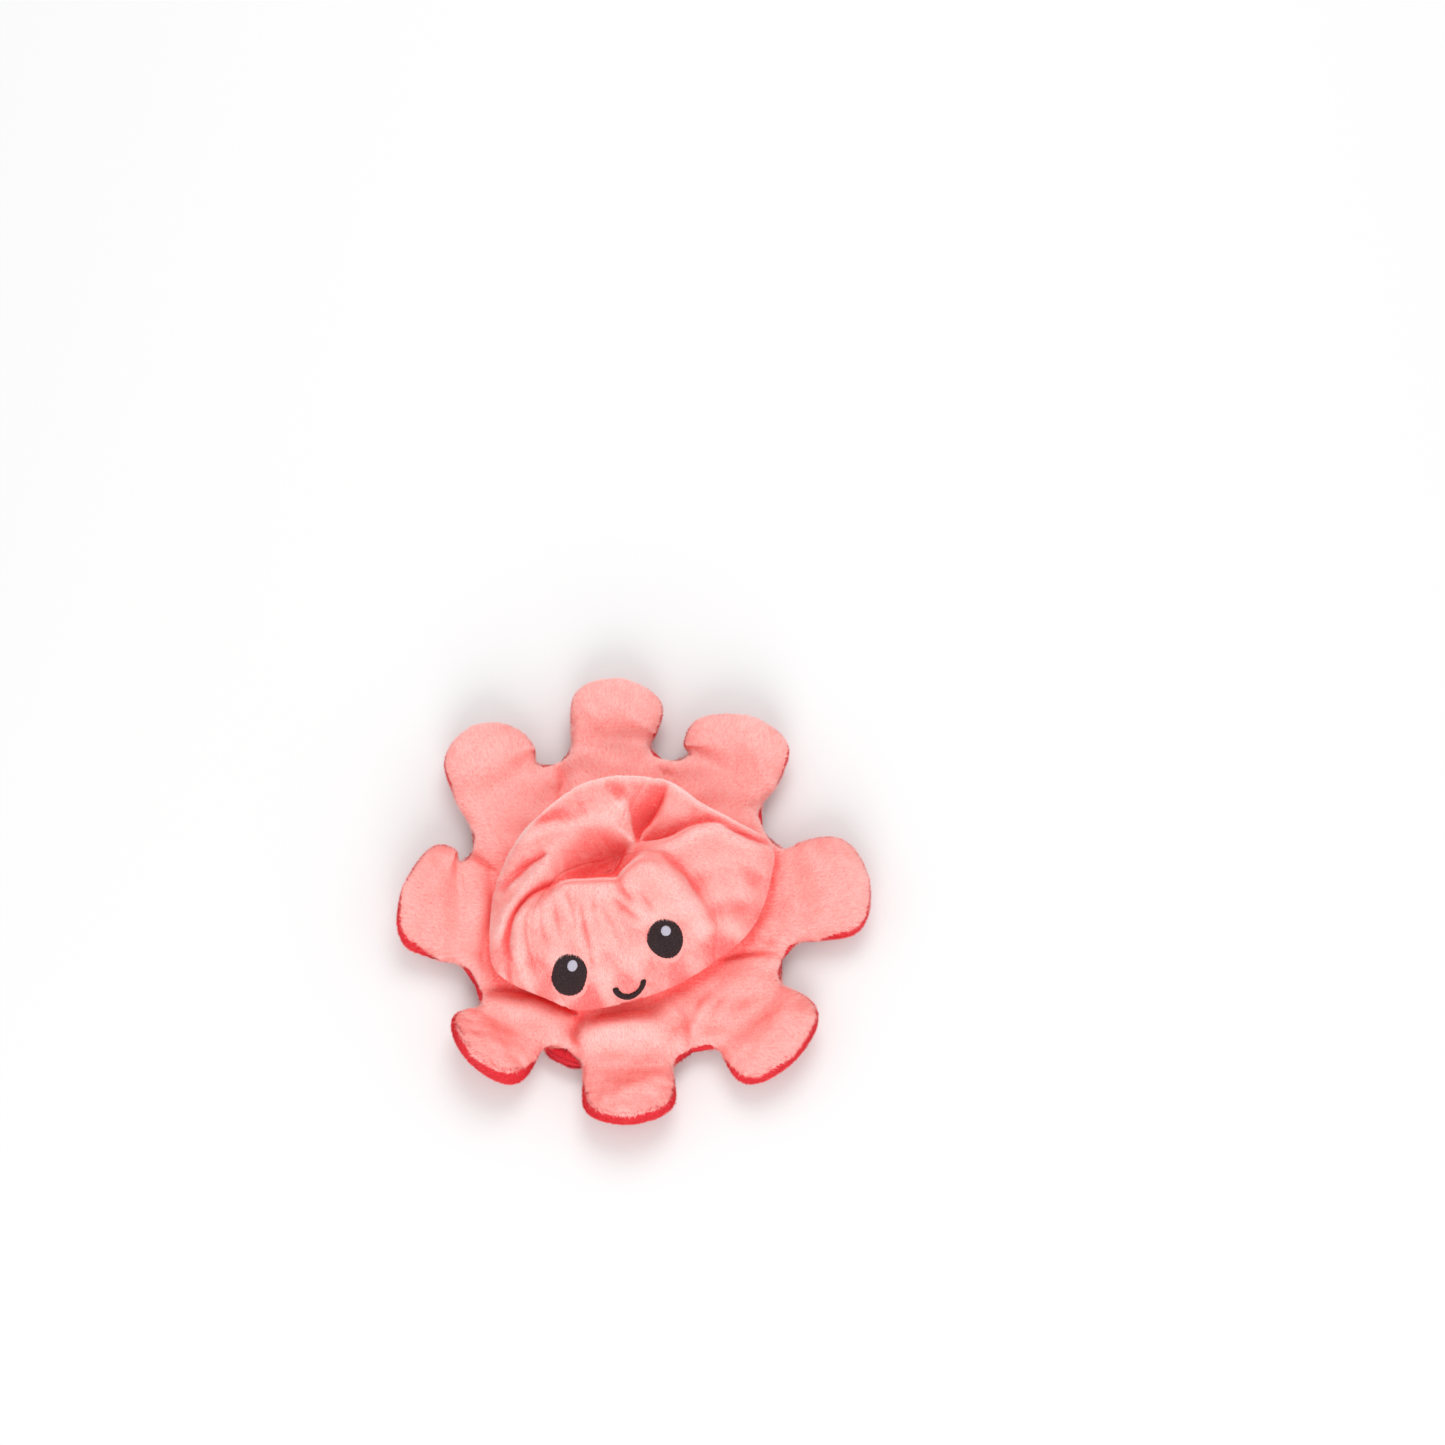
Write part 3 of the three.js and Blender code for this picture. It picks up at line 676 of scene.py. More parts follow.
def thread_group() -> bpy.types.NodeTree:
    """Satin stitches: fine waves across them, broken by noise, raise the thread and lighten its colour on the
    ridges, partly as the thread's own speckle and partly as a painted highlight.
    """
    results = {"Color": "Color", "Height": "Float"}
    nodes = group_of("satin_thread", {"Dark": "Color", "Light": "Color"}, results)
    given = nodes.given()
    place = nodes.object_place()
    stitches = {"Scale": 620, "Distortion": 7, "Detail": 2, "Detail Scale": 2, "Vector": place}
    wave = nodes.add("TexWave", stitches, bands_direction="X")
    rows = nodes.math("MULTIPLY", wave.outputs["Fac"], nodes.noise(place, scale=1500, detail=2))
    sharp = nodes.math("SMOOTH_MAX", nodes.math("SUBTRACT", rows, 0.25), 0.0, 0.05)
    return nodes.give(Color=nodes.mix(sharp, given.outputs["Dark"], given.outputs["Light"]), Height=rows)


def rgba(colour: Colour) -> Four:
    """A colour as a socket takes it."""
    return (*colour, 1.0)


@dataclass(frozen=True)
class Fabric:
    """A material and the name of a slot."""

    slot: str
    material: bpy.types.Material


class Shader:
    """A new material with one Principled shader, whose colour and relief come from a node group."""

    sheen_roughness = 0.45
    relief = 0.6

    def __init__(
        self, name: str, group: bpy.types.NodeTree, colours: dict[str, Colour],
        roughness: float, specular: float, sheen: float, glow: Colour,
    ) -> None:  # fmt: skip
        """Makes the material.

        Args:
            name: The material's name.
            group: The node group.
            colours: The group's colours by its inputs' names.
            roughness: Roughness, the same all over.
            specular: Level of the specular.
            sheen: Weight of the sheen.
            glow: Colour of the sheen.
        """
        self.material = bpy.data.materials.new(name)
        self.material.use_nodes = True
        self.nodes = Nodes(self.material.node_tree)
        colours = {key: rgba(colour) for key, colour in colours.items()}
        self.pattern = self.nodes.add("Group", colours, node_tree=group)
        looks = {
            "Base Color": self.pattern.outputs["Color"],
            "Roughness": roughness,
            "Specular IOR Level": specular,
            "Sheen Weight": sheen,
            "Sheen Roughness": self.sheen_roughness,
            "Sheen Tint": rgba(glow),
        }
        self.principled = self.nodes.add("BsdfPrincipled", looks)
        self.output = self.nodes.add("OutputMaterial", {"Surface": self.principled.outputs[0]})

    def bump(self, distance: float) -> None:
        """Raises the surface by the group's height times a distance in metres."""
        raised_by = {"Distance": distance, "Strength": self.relief, "Height": self.pattern.outputs["Height"]}
        self.nodes.fill(self.principled, {"Normal": self.nodes.add("Bump", raised_by).outputs[0]})

    def thin(self) -> None:
        """Lets the light that falls on a blade's front shine through its back."""
        through = self.nodes.add("BsdfTranslucent", {"Color": self.pattern.outputs["Color"]})
        back = self.nodes.add("NewGeometry").outputs["Backfacing"]
        both = self.nodes.add("MixShader", {0: back, 1: self.principled.outputs[0], 2: through.outputs[0]})
        self.nodes.fill(self.output, {"Surface": both.outputs[0]})


@dataclass(frozen=True)
class Plush:
    """One side of the toy: its colour's name, its cloth and its pile."""

    colour: str
    cloth: Fabric
    pile: Fabric


@dataclass(frozen=True)
class PlushFinish:
    """Dyed plush, with its cloth and its pile."""

    slot: str
    deep: Colour
    lit: Colour
    root: Colour
    full: Colour
    tip: Colour
    pale: Colour
    sheen: float
    cloth_roughness: float = 0.95
    pile_roughness: float = 0.8
    specular: float = 0.15
    knit_depth: float = 0.0004

    def dyed(self, groups: "Groups") -> Plush:
        """The cloth and the pile, from the shared node groups."""
        shine = self.specular, self.sheen, self.pale
        ground = {"Deep": self.deep, "Lit": self.lit}
        knit = Shader(f"{self.slot}_cloth", groups.cloth, ground, self.cloth_roughness, *shine)
        knit.bump(self.knit_depth)
        blades = {"Root": self.root, "Full": self.full, "Tip": self.tip, "Pale": self.pale}
        nap = Shader(f"{self.slot}_pile", groups.pile, blades, self.pile_roughness, *shine)
        chart = nap.nodes.add("UVMap", uv_map=BAKE_MAP)
        nap.nodes.fill(nap.pattern, {"Place": chart.outputs[0]})
        nap.thin()
        colour = self.slot.removesuffix("_plush")
        return Plush(colour, Fabric(self.slot, knit.material), Fabric(self.slot, nap.material))


@dataclass(frozen=True)
class ThreadFinish:
    """Satin-stitched embroidery thread."""

    slot: str
    dark: Colour
    light: Colour
    roughness: float
    specular: float = 0.25
    sheen: float = 0.0
    stitch_depth: float = 0.0005

    def spun(self, groups: "Groups") -> Fabric:
        """The thread."""
        colours = {"Dark": self.dark, "Light": self.light}
        shine = self.roughness, self.specular, self.sheen, self.light
        satin = Shader(f"{self.slot}_satin", groups.thread, colours, *shine)
        satin.bump(self.stitch_depth)
        return Fabric(self.slot, satin.material)


@dataclass(frozen=True)
class FibreFinish:
    """Loose polyester fibre."""

    slot: str
    hollow: Colour
    tuft: Colour
    roughness: float = 0.9
    specular: float = 0.2
    sheen: float = 0.4
    tuft_depth: float = 0.001

    def loose(self, groups: "Groups") -> Fabric:
        """The fibre, shaded as cloth is."""
        colours = {"Deep": self.hollow, "Lit": self.tuft}
        shine = self.roughness, self.specular, self.sheen, self.tuft
        wool = Shader(f"{self.slot}_wool", groups.cloth, colours, *shine)
        wool.bump(self.tuft_depth)
        return Fabric(self.slot, wool.material)


class Groups:
    """The node groups that the finishes share."""

    def __init__(self) -> None:
        """Builds each group once."""
        self.cloth = cloth_group()
        self.pile = pile_group()
        self.thread = thread_group()


# On the coral pile the full colour is mostly painted shade, in creases, low on the head and beside it. The
# pale colour is mostly painted light, on ridges and on slopes facing the lamp, besides being the sheen's
# tint. On both sides the cloth under the pile is darker than the blades, partly as painted shade between
# them. The crimson pile spreads between its colours only at random.
CORAL = PlushFinish(
    slot="coral_plush",
    deep=(0.94, 0.28, 0.26),
    lit=(0.96, 0.40, 0.37),
    root=(0.96, 0.42, 0.39),
    full=(0.96, 0.16, 0.155),
    tip=(0.985, 0.58, 0.54),
    pale=(0.995, 0.80, 0.78),
    sheen=0.3,
)
CRIMSON = PlushFinish(
    slot="crimson_plush",
    deep=(0.55, 0.018, 0.03),
    lit=(0.74, 0.04, 0.055),
    root=(0.72, 0.03, 0.045),
    full=(0.52, 0.008, 0.018),
    tip=(0.88, 0.08, 0.095),
    pale=(0.93, 0.15, 0.16),
    sheen=0.15,
)
FIBRE = FibreFinish(slot="fibre_filling", hollow=(0.78, 0.77, 0.74), tuft=(0.9, 0.89, 0.86))
# each thread's light colour is partly its own speckle and partly a painted highlight on the stitch ridges
BLACK_THREAD = ThreadFinish("black_thread", (0.014, 0.005, 0.006), (0.15, 0.08, 0.09), 0.65)
WHITE_THREAD = ThreadFinish("white_thread", (0.48, 0.45, 0.54), (0.74, 0.71, 0.79), 0.6)


class Finishes:
    """All fabrics of the toy, made once."""

    def __init__(self) -> None:
        """Makes the fabrics."""
        groups = Groups()
        self.coral = CORAL.dyed(groups)
        self.crimson = CRIMSON.dyed(groups)
        self.fibre = FIBRE.loose(groups)
        self.black = BLACK_THREAD.spun(groups)
        self.white = WHITE_THREAD.spun(groups)


# The head


@dataclass(frozen=True)
class Gores:
    """How a head is sewn from six gores: their columns, filling, seams and pile."""

    part: str
    columns: int
    fill: float
    seed: int
    groove_depth: float
    groove_width: float
    fade_below: float
    pile: Pile

    def grooves(self, surface: Sheet) -> Array:
        """Depth of the grooves along the seams, which fade where the columns crowd at the pole."""
        spacing = np.linalg.norm(surface.slopes()[1], axis=-1)
        within = np.arange(spacing.shape[1]) % self.columns
        steps = np.minimum(within, self.columns - within)
        groove = self.groove_depth * np.exp(-((steps * spacing / self.groove_width) ** 2))
        return groove * np.clip(spacing / self.fade_below, 0, 1)

    def sew(self, surface: Sheet, inside: Array, painted_shading: Array, plush: Plush, bare: Formula) -> None:
        """Makes the six gores and their pile.

        Args:
            surface: The whole head's cloth.
            inside: The points of its lining.
            painted_shading: Painted light and shade, given as how much paler than the middle colour the pile
                is.
            plush: The cloth and the pile.
            bare: Tells where embroidery leaves no pile.
        """
        normals = surface.normals()
        for number, gore in enumerate(GORE_NAMES):
            first, last = number * self.columns, (number + 1) * self.columns
            sheet = surface.columns(first, last)
            grids = (Sheet(grid).columns(first, last).points for grid in (inside, normals, painted_shading))
            lining, facing, shade = grids
            piece = add_piece(f"{self.part}_{gore}_plush", merged(cloth(sheet, lining)), plush.cloth)
            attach(piece, SKIRT_BODY)
            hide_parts(f"{self.part}_{gore}_gore")
            blades = self.pile.on(sheet, facing, shade, -1, self.seed + number, bare)
            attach(add_piece(f"{self.part}_{gore}_pile", blades, plush.pile), SKIRT_BODY)


HEAD_OUTLINE = (
    (-5, -43), (10, -42), (27, -38), (40, -33), (49, -26), (58, -14), (63.5, -1),
    (53, 12), (43, 24), (33, 38), (18, 46), (-2, 50), (-22, 45), (-37, 37),
    (-50, 24), (-58, 9), (-63, -7), (-59, -17), (-46, -30), (-37, -38), (-20, -42),
)  # fmt: skip
CROWN_HEIGHTS = (
    (-12, -37, 41), (-36, -30, 42), (12, -32, 43), (-12, -14, 52), (-32, 0, 50), (-8, -2, 55), (12, 0, 55),
    (34, -22, 38), (50, -10, 35), (32, 8, 46), (0, 20, 41), (-20, 30, 42), (10, 36, 43), (-5, 45, 46),
    (28, 34, 43), (-40, 24, 42), (-52, 2, 39), (-55, -14, 31),
)  # fmt: skip
HEAD_HEIGHTS = (
    # face
    (-22.5, -1, 50), (-34.5, -2.5, 48), (-12, -4, 52), (-11.5, -16, 50), (-24.5, -18, 48), (-34.5, -15, 46),
    (-41.5, -6.5, 44), (-47.5, -6.5, 40), (-49.5, -18.5, 39), (-35, -27.5, 42), (-22.5, -31.5, 45),
    (-9, -28, 47), (-17.5, -39, 40), (-32, -37, 34), (-0.5, -39.5, 42), (6.5, -29, 46), (14, -36, 42),
    (8.5, -41.5, 37), (23, -37.5, 36), (-44, -28, 38),
    # finger
    (7, 1, 54), (12.5, -8.5, 54), (5.5, -12.5, 53), (16.5, -16, 51), (21, -26.5, 47),
    # right
    (24.5, 2, 47), (34, 3.5, 46), (43.5, 2.5, 45), (51.5, -4, 42), (59.5, -4, 38), (32, -11, 44),
    (41.5, -14, 42), (50.5, -16, 37), (34.5, -27, 40), (42.5, -27, 35), (29.5, -36.5, 35),
    # flap
    (14, 11.5, 47), (20, 8, 47), (31, 9.5, 47), (41.5, 9, 46), (49.5, 2, 44),
    # behind
    (25, 24.5, 41), (31.5, 22.5, 44), (25, 18, 38), (35, 18, 42), (42.5, 15, 44), (19, 20.5, 33),
    # rim
    (49, 15, 46), (55.5, 9, 43), (59, 3, 41), (41.5, 20.5, 47), (37, 27, 48), (31.5, 34.5, 48),
    (20, 41.5, 48), (9.5, 45.5, 48), (-3.5, 46, 47), (-15.5, 43.5, 46), (-28, 39.5, 44), (-38, 34.5, 42),
    (-45, 27, 39),
    # left back
    (-23, 39, 42), (-11, 38.5, 43), (0, 39.5, 44), (4.5, 33.5, 44), (7, 27.5, 42), (-13.5, 31.5, 43),
    (-3, 27.5, 42), (3, 22, 38), (6.5, 17.5, 37), (-26.5, 32, 43), (-36.5, 28.5, 42),
    # left
    (-23.5, 24.5, 42), (-28.5, 19.5, 43), (-37, 14.5, 43), (-46, 9.5, 42), (-53.5, 4, 39), (-59, -3.5, 35),
    (-41, 22, 39), (-49, 17.5, 37),
    # pits
    (-4, 21, 35), (-5, 15.5, 30), (-13.5, 18.5, 37), (18.5, 35.5, 44), (17, 30, 37), (17, 25, 33),
    (11.5, 19.5, 33), (3, 15.5, 33),
)  # fmt: skip
HEAD_FOLDS = (
    # the rim
    Fold(((-44.5, 29, 0), (-38, 35, 1.5), (-28, 40, 2), (-15.5, 43.5, 2.2), (-4, 46, 2.2), (9, 45, 2.2),
         (20, 41, 2.2), (30, 34.5, 2.2), (36.5, 26, 2.2), (41, 20, 2.2), (48.5, 14, 2.2), (55, 8, 2),
         (60.5, 1.5, 0)), 3, 2.5),
    # the pit's left end under the face
    Fold(((-28.5, 14.5, 0), (-25.5, 13, -3), (-22, 11.5, -4.5), (-17.5, 12, -6), (-13, 13, -9),
         (-8, 13, -12), (-3, 12.5, -13), (0.5, 14.5, -11), (4, 17, -6), (7.5, 17.5, 0)), 6, 1.8, 1.4),
    # a crease in its corner
    Fold(((-14, 21, 0), (-13.5, 19, -4), (-13, 16, -5), (-11, 14, -3), (-9.5, 13.5, 0)), 1.3, 1.3, 1.2),
    # the pit's right end
    Fold(((30, 33.5, 0), (27.5, 32.5, -5), (25.5, 30.5, -7), (21.5, 27.5, -8), (17, 25, -8), (13, 22.5, -7),
         (11, 19.5, -5), (9, 17, 0)), 1.5, 6, 1.3),
    # the edge on its left
    Fold(((10, 38.5, 0), (11, 34.5, 2), (10, 29.5, 3), (9.5, 24.5, 3), (9.5, 20, 2.5), (10.5, 18, 0)),
         1.2, 3.5, 1.6),
    # the valley behind the flap
    Fold(((11, 19, 0), (15, 17, -7), (20.5, 15, -7), (27, 15, -5.5), (33, 15, -4.5), (38.5, 14, -4),
         (44, 11.5, -2.5), (47, 7.5, -3.5), (51, 4, -4.5), (54.5, 1.5, -4.5), (58, 0, -3), (62, -0.5, 0)),
         3.5, 1.3, 1.4),
    # the flap's edge
    Fold(((11.5, 13.5, 0), (19, 10, 1.5), (27, 11, 1.8), (37, 11.5, 1.8), (43.5, 10, 1.5), (48.5, 4.5, 1.5),
         (54, 0, 1), (60, -1.5, 0)), 1.5, 4),
    # under the rim
    Fold(((5, 43, 0), (7.5, 41.5, -2), (10, 38.5, -3), (10.5, 34, -2), (10, 29.5, 0)), 3, 3),
    # the left back panel
    Fold(((-27.5, 38.5, 0), (-22.5, 38.5, -2), (-16.5, 38, -2.5), (-10, 34, -2), (-4, 33.5, 0)), 4, 4),
    # its lower edge
    Fold(((-37, 32.5, 0), (-30.5, 33.5, 1.5), (-21.5, 33.5, 2), (-13.5, 32, 2), (-5.5, 29.5, 2),
         (0.5, 26.5, 2.5), (4, 21.5, 3), (6.5, 17.5, 2), (8.5, 16, 0)), 4, 2.5),
    # over the left band
    Fold(((-49, 16.5, 0), (-45.5, 19.5, -3), (-40, 21.5, -4), (-34, 23.5, -4), (-28.5, 24, -3), (-25, 24, 0)),
         3.5, 1.8, 1.5),
    # the left band
    Fold(((-60, -3.5, 0), (-56, 1.5, 2), (-49.5, 8, 2.5), (-40.5, 13, 2.5), (-32.5, 17.5, 2.5),
         (-27, 20.5, 2), (-22.5, 24, 1), (-20, 27.5, 0)), 2, 2.5),
    # between the left band and the face
    Fold(((-57.5, -14.5, 0), (-55.5, -9, -3), (-54, -3.5, -5), (-50.5, 2, -6), (-46.5, 6.5, -6.5),
         (-39.5, 10.5, -6), (-34, 11.5, -5), (-28.5, 12, -4), (-24.5, 12, -3), (-21, 11.5, 0)),
         2.2, 1.6, 1.3),
    # the face's left edge
    Fold(((-30.5, 9, 0), (-37.5, 10, 1.5), (-44.5, 6, 2), (-49.5, 0.5, 2), (-52, -9.5, 2), (-52, -20, 2),
         (-49.5, -27.5, 0)), 3, 1.5),
    # inside that edge
    Fold(((-41, 8, 0), (-44, 2, -0.8), (-46.5, -6, -0.9), (-47.5, -14.5, -0.7), (-48, -21, 0)),
         1.2, 1.2, 1.5),
    # gathers on the face
    Fold(((-23, 8.5, 0), (-24, 4, -2.2), (-24.3, -1.5, -2), (-25.3, -7, -1.2), (-26.5, -13, 0)), 0.9, 1, 1.3),
    Fold(((-20.5, 6, 0), (-22, 1, -1.6), (-23.4, -5, -1), (-24.2, -9, 0)), 0.8, 0.8, 1.4),
    Fold(((-20.5, 2, 0), (-21.3, -5, -1.8), (-22.5, -12, -2.2), (-23.5, -18.5, -2), (-24.5, -23.5, -1.4),
         (-25, -29, 0)), 0.9, 1.4, 1.3),
    Fold(((-7.5, -3.5, 0), (-6, -8, -1.6), (-3.5, -13, -1.6), (0, -18, -0.9), (2.5, -21.5, 0)),
         1.1, 1.8, 1.6),
    Fold(((-12, 0, 0), (-12.5, -8, -0.9), (-12, -15, -0.9), (-11, -22, -0.6), (-10, -27, 0)), 1.2, 1.8, 1.4),
    Fold(((-36, 7, 0), (-37.5, 0, -1), (-39, -7, -0.8), (-39.5, -14, 0)), 0.9, 1.2, 1.5),
    Fold(((-29, 7.5, 0), (-31, 0, -1.1), (-32.5, -8, -0.8), (-33, -14, 0)), 0.9, 1.2, 1.5),
    Fold(((-13.5, 5, 0), (-15, -2, -1.1), (-16.8, -9, -0.9), (-17.8, -16, 0)), 0.9, 1.2, 1.5),
    # the bulge over the right eye
    Fold(((4, 9.5, 0), (8.5, 4.5, 2), (14, -2, 2.5), (17.5, -11.5, 2), (20, -21, 1), (21, -29.5, 0)), 4, 5),
    # its left border
    Fold(((-1.5, 8, 0), (-2.5, 4, -3), (-3, -1.5, -3), (-2, -6.5, -2.2), (-0.5, -10.5, 0)), 1.5, 2, 1.3),
    # a crease on it
    Fold(((2.5, -5, 0), (3.5, -9.5, -1), (5, -13.5, -1.1), (7, -18, 0)), 1, 1, 1.4),
    # its right border
    Fold(((10, 14, 0), (17.5, 5.5, -1.5), (22.5, -2.5, -2), (24.5, -10, -1.8), (26, -17.5, -1.2),
         (27.5, -26, -0.8), (26.5, -37, 0)), 1.6, 1.6, 1.5),
    # the lower left
    Fold(((-55, -8.5, 0), (-57, -12, -2.5), (-58, -16, -2.5), (-58, -19.5, 0)), 1.5, 1.5, 1.4),
    Fold(((-59.5, -9, 0), (-60, -14, 1.5), (-59, -19.5, 0)), 1.8, 1.8),
)  # fmt: skip


@dataclass
class Seam:
    """A seam between two gores: its bearing from the pole at the widest line, and its sweep to the pole."""

    rim: float
    sweep: float

    def bearing(self, share: Array) -> Array:
        """Its bearing in radians: the rim's, and the sweep times the sine of a quarter turn on the way in."""
        return np.radians(self.rim + self.sweep * np.sin((1 - share) * np.pi / 2))


@dataclass
class Head:
    """The slumped coral head, sewn from six gores."""

    pole: Pair = (0, 17)
    widest_height: float = 24
    pit_floor: float = 24
    height_reach: float = 4.5
    unevenness: tuple[Ripple, Ripple] = (Ripple(16, 0.25, 5), Ripple(6, 0.05, 6))
    edge_power: float = 8
    crown_power: float = 0.45
    base_share: float = 0.92
    base_height: float = 10.8
    cloth: float = 1.6
    pile_room: float = 0.9
    seams: tuple[Seam, ...] = (
        Seam(-128, -60), Seam(-67, 42), Seam(-18, 20), Seam(40, 14), Seam(105, 5), Seam(175, -15),
    )  # fmt: skip
    # painted light and shade on the coral pile: ridges paler and creases darker, slopes facing the lamp
    # paler, and the low part by the base darker
    painted_relief_shading: tuple[Triple, Triple] = ((0.22, 1.5, 0.5), (0.5, 5.5, 3.5))
    whole_tone: float = -0.03
    painted_light_tone: float = 0.18
    painted_low_shade: float = -0.1
    shaded_height: float = 12
    side_curve: float = 1.6
    inwards_from: float = 0.86
    inwards_over: float = 0.08
    down_over: float = 4
    crown_rows: int = 116
    side_rows: int = 14
    row_power: float = 0.85
    gores: Gores = Gores("head", 72, 0.5, 100, 0.6, 0.9, 0.3, Pile(1.5, 0.24, 13, 64, 20))

    def __post_init__(self) -> None:
        """Works out the outline's distance from the pole for every bearing."""
        line = curve_through(np.array(HEAD_OUTLINE, float), 12, closed=True) - self.pole
        bearings = np.arctan2(line[:, 1], line[:, 0])
        order = np.argsort(bearings)
        self.bearings, self.radii = bearings[order], np.linalg.norm(line, axis=1)[order]
        self.relief = Relief.of(self.slumped_height, -70, 70, 0.5)

    def slumped_height(self, plan: Array) -> Array:
        """Height of the slumped crown: of its stuffing with folds, which levels out at the pit's floor."""
        height = stuffed_height(plan, HEAD_HEIGHTS, self.height_reach) + folded(plan, HEAD_FOLDS)
        height += sum(ripple.at(plan) for ripple in self.unevenness)
        return self.pit_floor + np.logaddexp(0, height - self.pit_floor)

    def radius(self, bearing: Array) -> Array:
        """Distance from the pole to the widest line at bearings in radians."""
        return np.interp(bearing, self.bearings, self.radii, period=2 * np.pi)

    def reach(self, plan: Array) -> tuple[Array, Array]:
        """Distances of places from the pole, and of the widest line at their bearings."""
        return np.linalg.norm(plan - self.pole, axis=-1), self.radius(self.bearing(plan))

    def bearing(self, plan: Array) -> Array:
        """Bearings of places from the pole, in radians."""
        out = plan - self.pole
        return np.arctan2(out[..., 1], out[..., 0])

    def from_pole(self, bearing: Array, distance: Array) -> Array:
        """Places in plan at a bearing and a distance from the pole."""
        way = np.stack([np.cos(bearing), np.sin(bearing)], axis=-1)
        return np.array(self.pole, float) + way * np.asarray(distance)[..., None]

    def crown_height(self, plan: Array) -> Array:
        """Height of the head's surface over places in plan."""
        distance, widest = self.reach(plan)
        return self.rounded(self.relief.at(plan), distance / widest)

    def rounded(self, height: Array, share: Array) -> Array:
        """A height turned down to the widest line's by (1 - share^8)^0.45, for a share of the way out."""
        rounding = np.clip(1 - share**self.edge_power, 0, None) ** self.crown_power
        return self.widest_height + (height - self.widest_height) * rounding

    def columns(self, share: Array) -> Array:
        """Bearings of the ring's columns for each row's share: even steps from seam to seam."""
        edges = np.stack([seam.bearing(share) for seam in self.seams], axis=-1)
        edges = np.concatenate([edges, edges[..., :1] + 2 * np.pi], axis=-1)
        steps = np.arange(self.gores.columns) / self.gores.columns
        start, end = edges[..., :-1, None], edges[..., 1:, None]
        return (start + (end - start) * steps).reshape(len(share), -1)

    def surface(self) -> Sheet:
        """The head's cloth from its base up to the pole, with grooves along the seams."""
        down = np.linspace(1, 0, self.side_rows, endpoint=False)
        sides = self.columns(np.ones(self.side_rows))
        shrink = 1 - (1 - self.base_share) * down[:, None] ** self.side_curve
        low = self.widest_height - (self.widest_height - self.base_height) * down[:, None]
        wall = raised(self.from_pole(sides, self.radius(sides) * shrink), low)
        share = np.sin(np.linspace(1, 0, self.crown_rows) * np.pi / 2) ** self.row_power
        bearing = self.columns(share)
        plan = self.from_pole(bearing, self.radius(bearing) * share[:, None])
        crown = raised(plan, self.crown_height(plan))
        points = np.concatenate([wall, crown])
        grooves = self.gores.grooves(Sheet(points, ringed=True))
        return Sheet(self.layer(points, self.pile_room + grooves), ringed=True)

    def layer(self, points: Array, depth: Array | float) -> Array:
        """A layer under the head's surface: lower by the depth on top, and nearer to the pole at the sides.

        Args:
            points: The surface's points.
            depth: How far under the surface it lies.

        Returns:
            The layer's points.
        """
        distance, widest = self.reach(points[..., :2])
        inwards = depth * smooth((distance / widest - self.inwards_from) / self.inwards_over)
        out = points[..., :2] - self.pole
        plan = np.array(self.pole) + out * (1 - inwards / np.maximum(distance, 1))[..., None]
        down = depth * smooth((points[..., 2] - self.widest_height) / self.down_over)
        return raised(plan, points[..., 2] - down)

    def build(self, finishes: Finishes, bare: Formula) -> None:
        """Makes the head, with no pile where embroidery leaves it bare."""
        surface = self.surface()
        inside = self.layer(surface.points, self.cloth)
        # painted light and shade for the pile
        painted_shading = self.painted_shading(surface.points, surface.normals())
        self.gores.sew(surface, inside, painted_shading, finishes.coral, bare)

    def painted_shading(self, points: Array, normals: Array) -> Array:
        """Painted light and shade on the pile: paler on ridges and on slopes that face up and back towards
        the lamp, darker in creases and low down by the base, where shade falls.
        """
        plan = points[..., :2]
        ridges = sum(
            share * np.tanh((self.relief.at(plan) - self.relief.smoothed(reach).at(plan)) / full)
            for share, reach, full in self.painted_relief_shading
        )
        height = np.clip(points[..., 2:] - self.base_height, 0, self.shaded_height) / self.shaded_height
        painted_light = self.painted_light_tone * (normals @ PAINTED_LIGHT_WAY - PAINTED_LIGHT_MIDDLE)[..., None]
        return (ridges + self.whole_tone)[..., None] * height + painted_light + self.painted_low_shade * (1 - height)


# Embroidery


@dataclass(frozen=True)
class Patch:
    """A stitched shape on the surface, in a plane that tilts by an angle at its centre."""

    name: str
    node: str
    centre: Pair
    tilt: float
    raise_by: float = 0.35
    sunk: float = 1.1

    @property
    def squeeze(self) -> Array:
        """How much shorter the patch is in plan than in its own plane, along x and y."""
        return np.array([1.0, np.cos(np.radians(self.tilt))])

    def flat(self, points: Array) -> Array:
        """Places in the patch's own plane, from its centre."""
        return (points[:, :2] - self.centre) / self.squeeze

    def lift(self, dome: Array) -> Array:
        """How far over the surface the stitches lie: sunk at their edge, and raised where the dome is 1."""
        return -self.sunk + (self.sunk + self.raise_by) * dome

    def on_surface(self, flat: Array, lift: Array, height: Formula) -> Array:
        """Points of the patch: flat places laid on the surface and moved along its normal by a lift.

        The normal is (-dz/dx, -dz/dy, 1), from heights at a step to either side.

        Args:
            flat: Places in the patch's own plane, from its centre.
            lift: How far over the surface each lies.
            height: The surface's height at places in plan.

        Returns:
            The points.
        """
        plan = np.array(self.centre) + flat * self.squeeze
        step = 0.6
        along = (height(plan + [step, 0]) - height(plan - [step, 0])) / (2 * step)
        up = (height(plan + [0, step]) - height(plan - [0, step])) / (2 * step)
        normal = unit(np.stack([-along, -up, np.ones_like(up)], axis=-1))
        return raised(plan, height(plan)) + normal * lift[..., None]


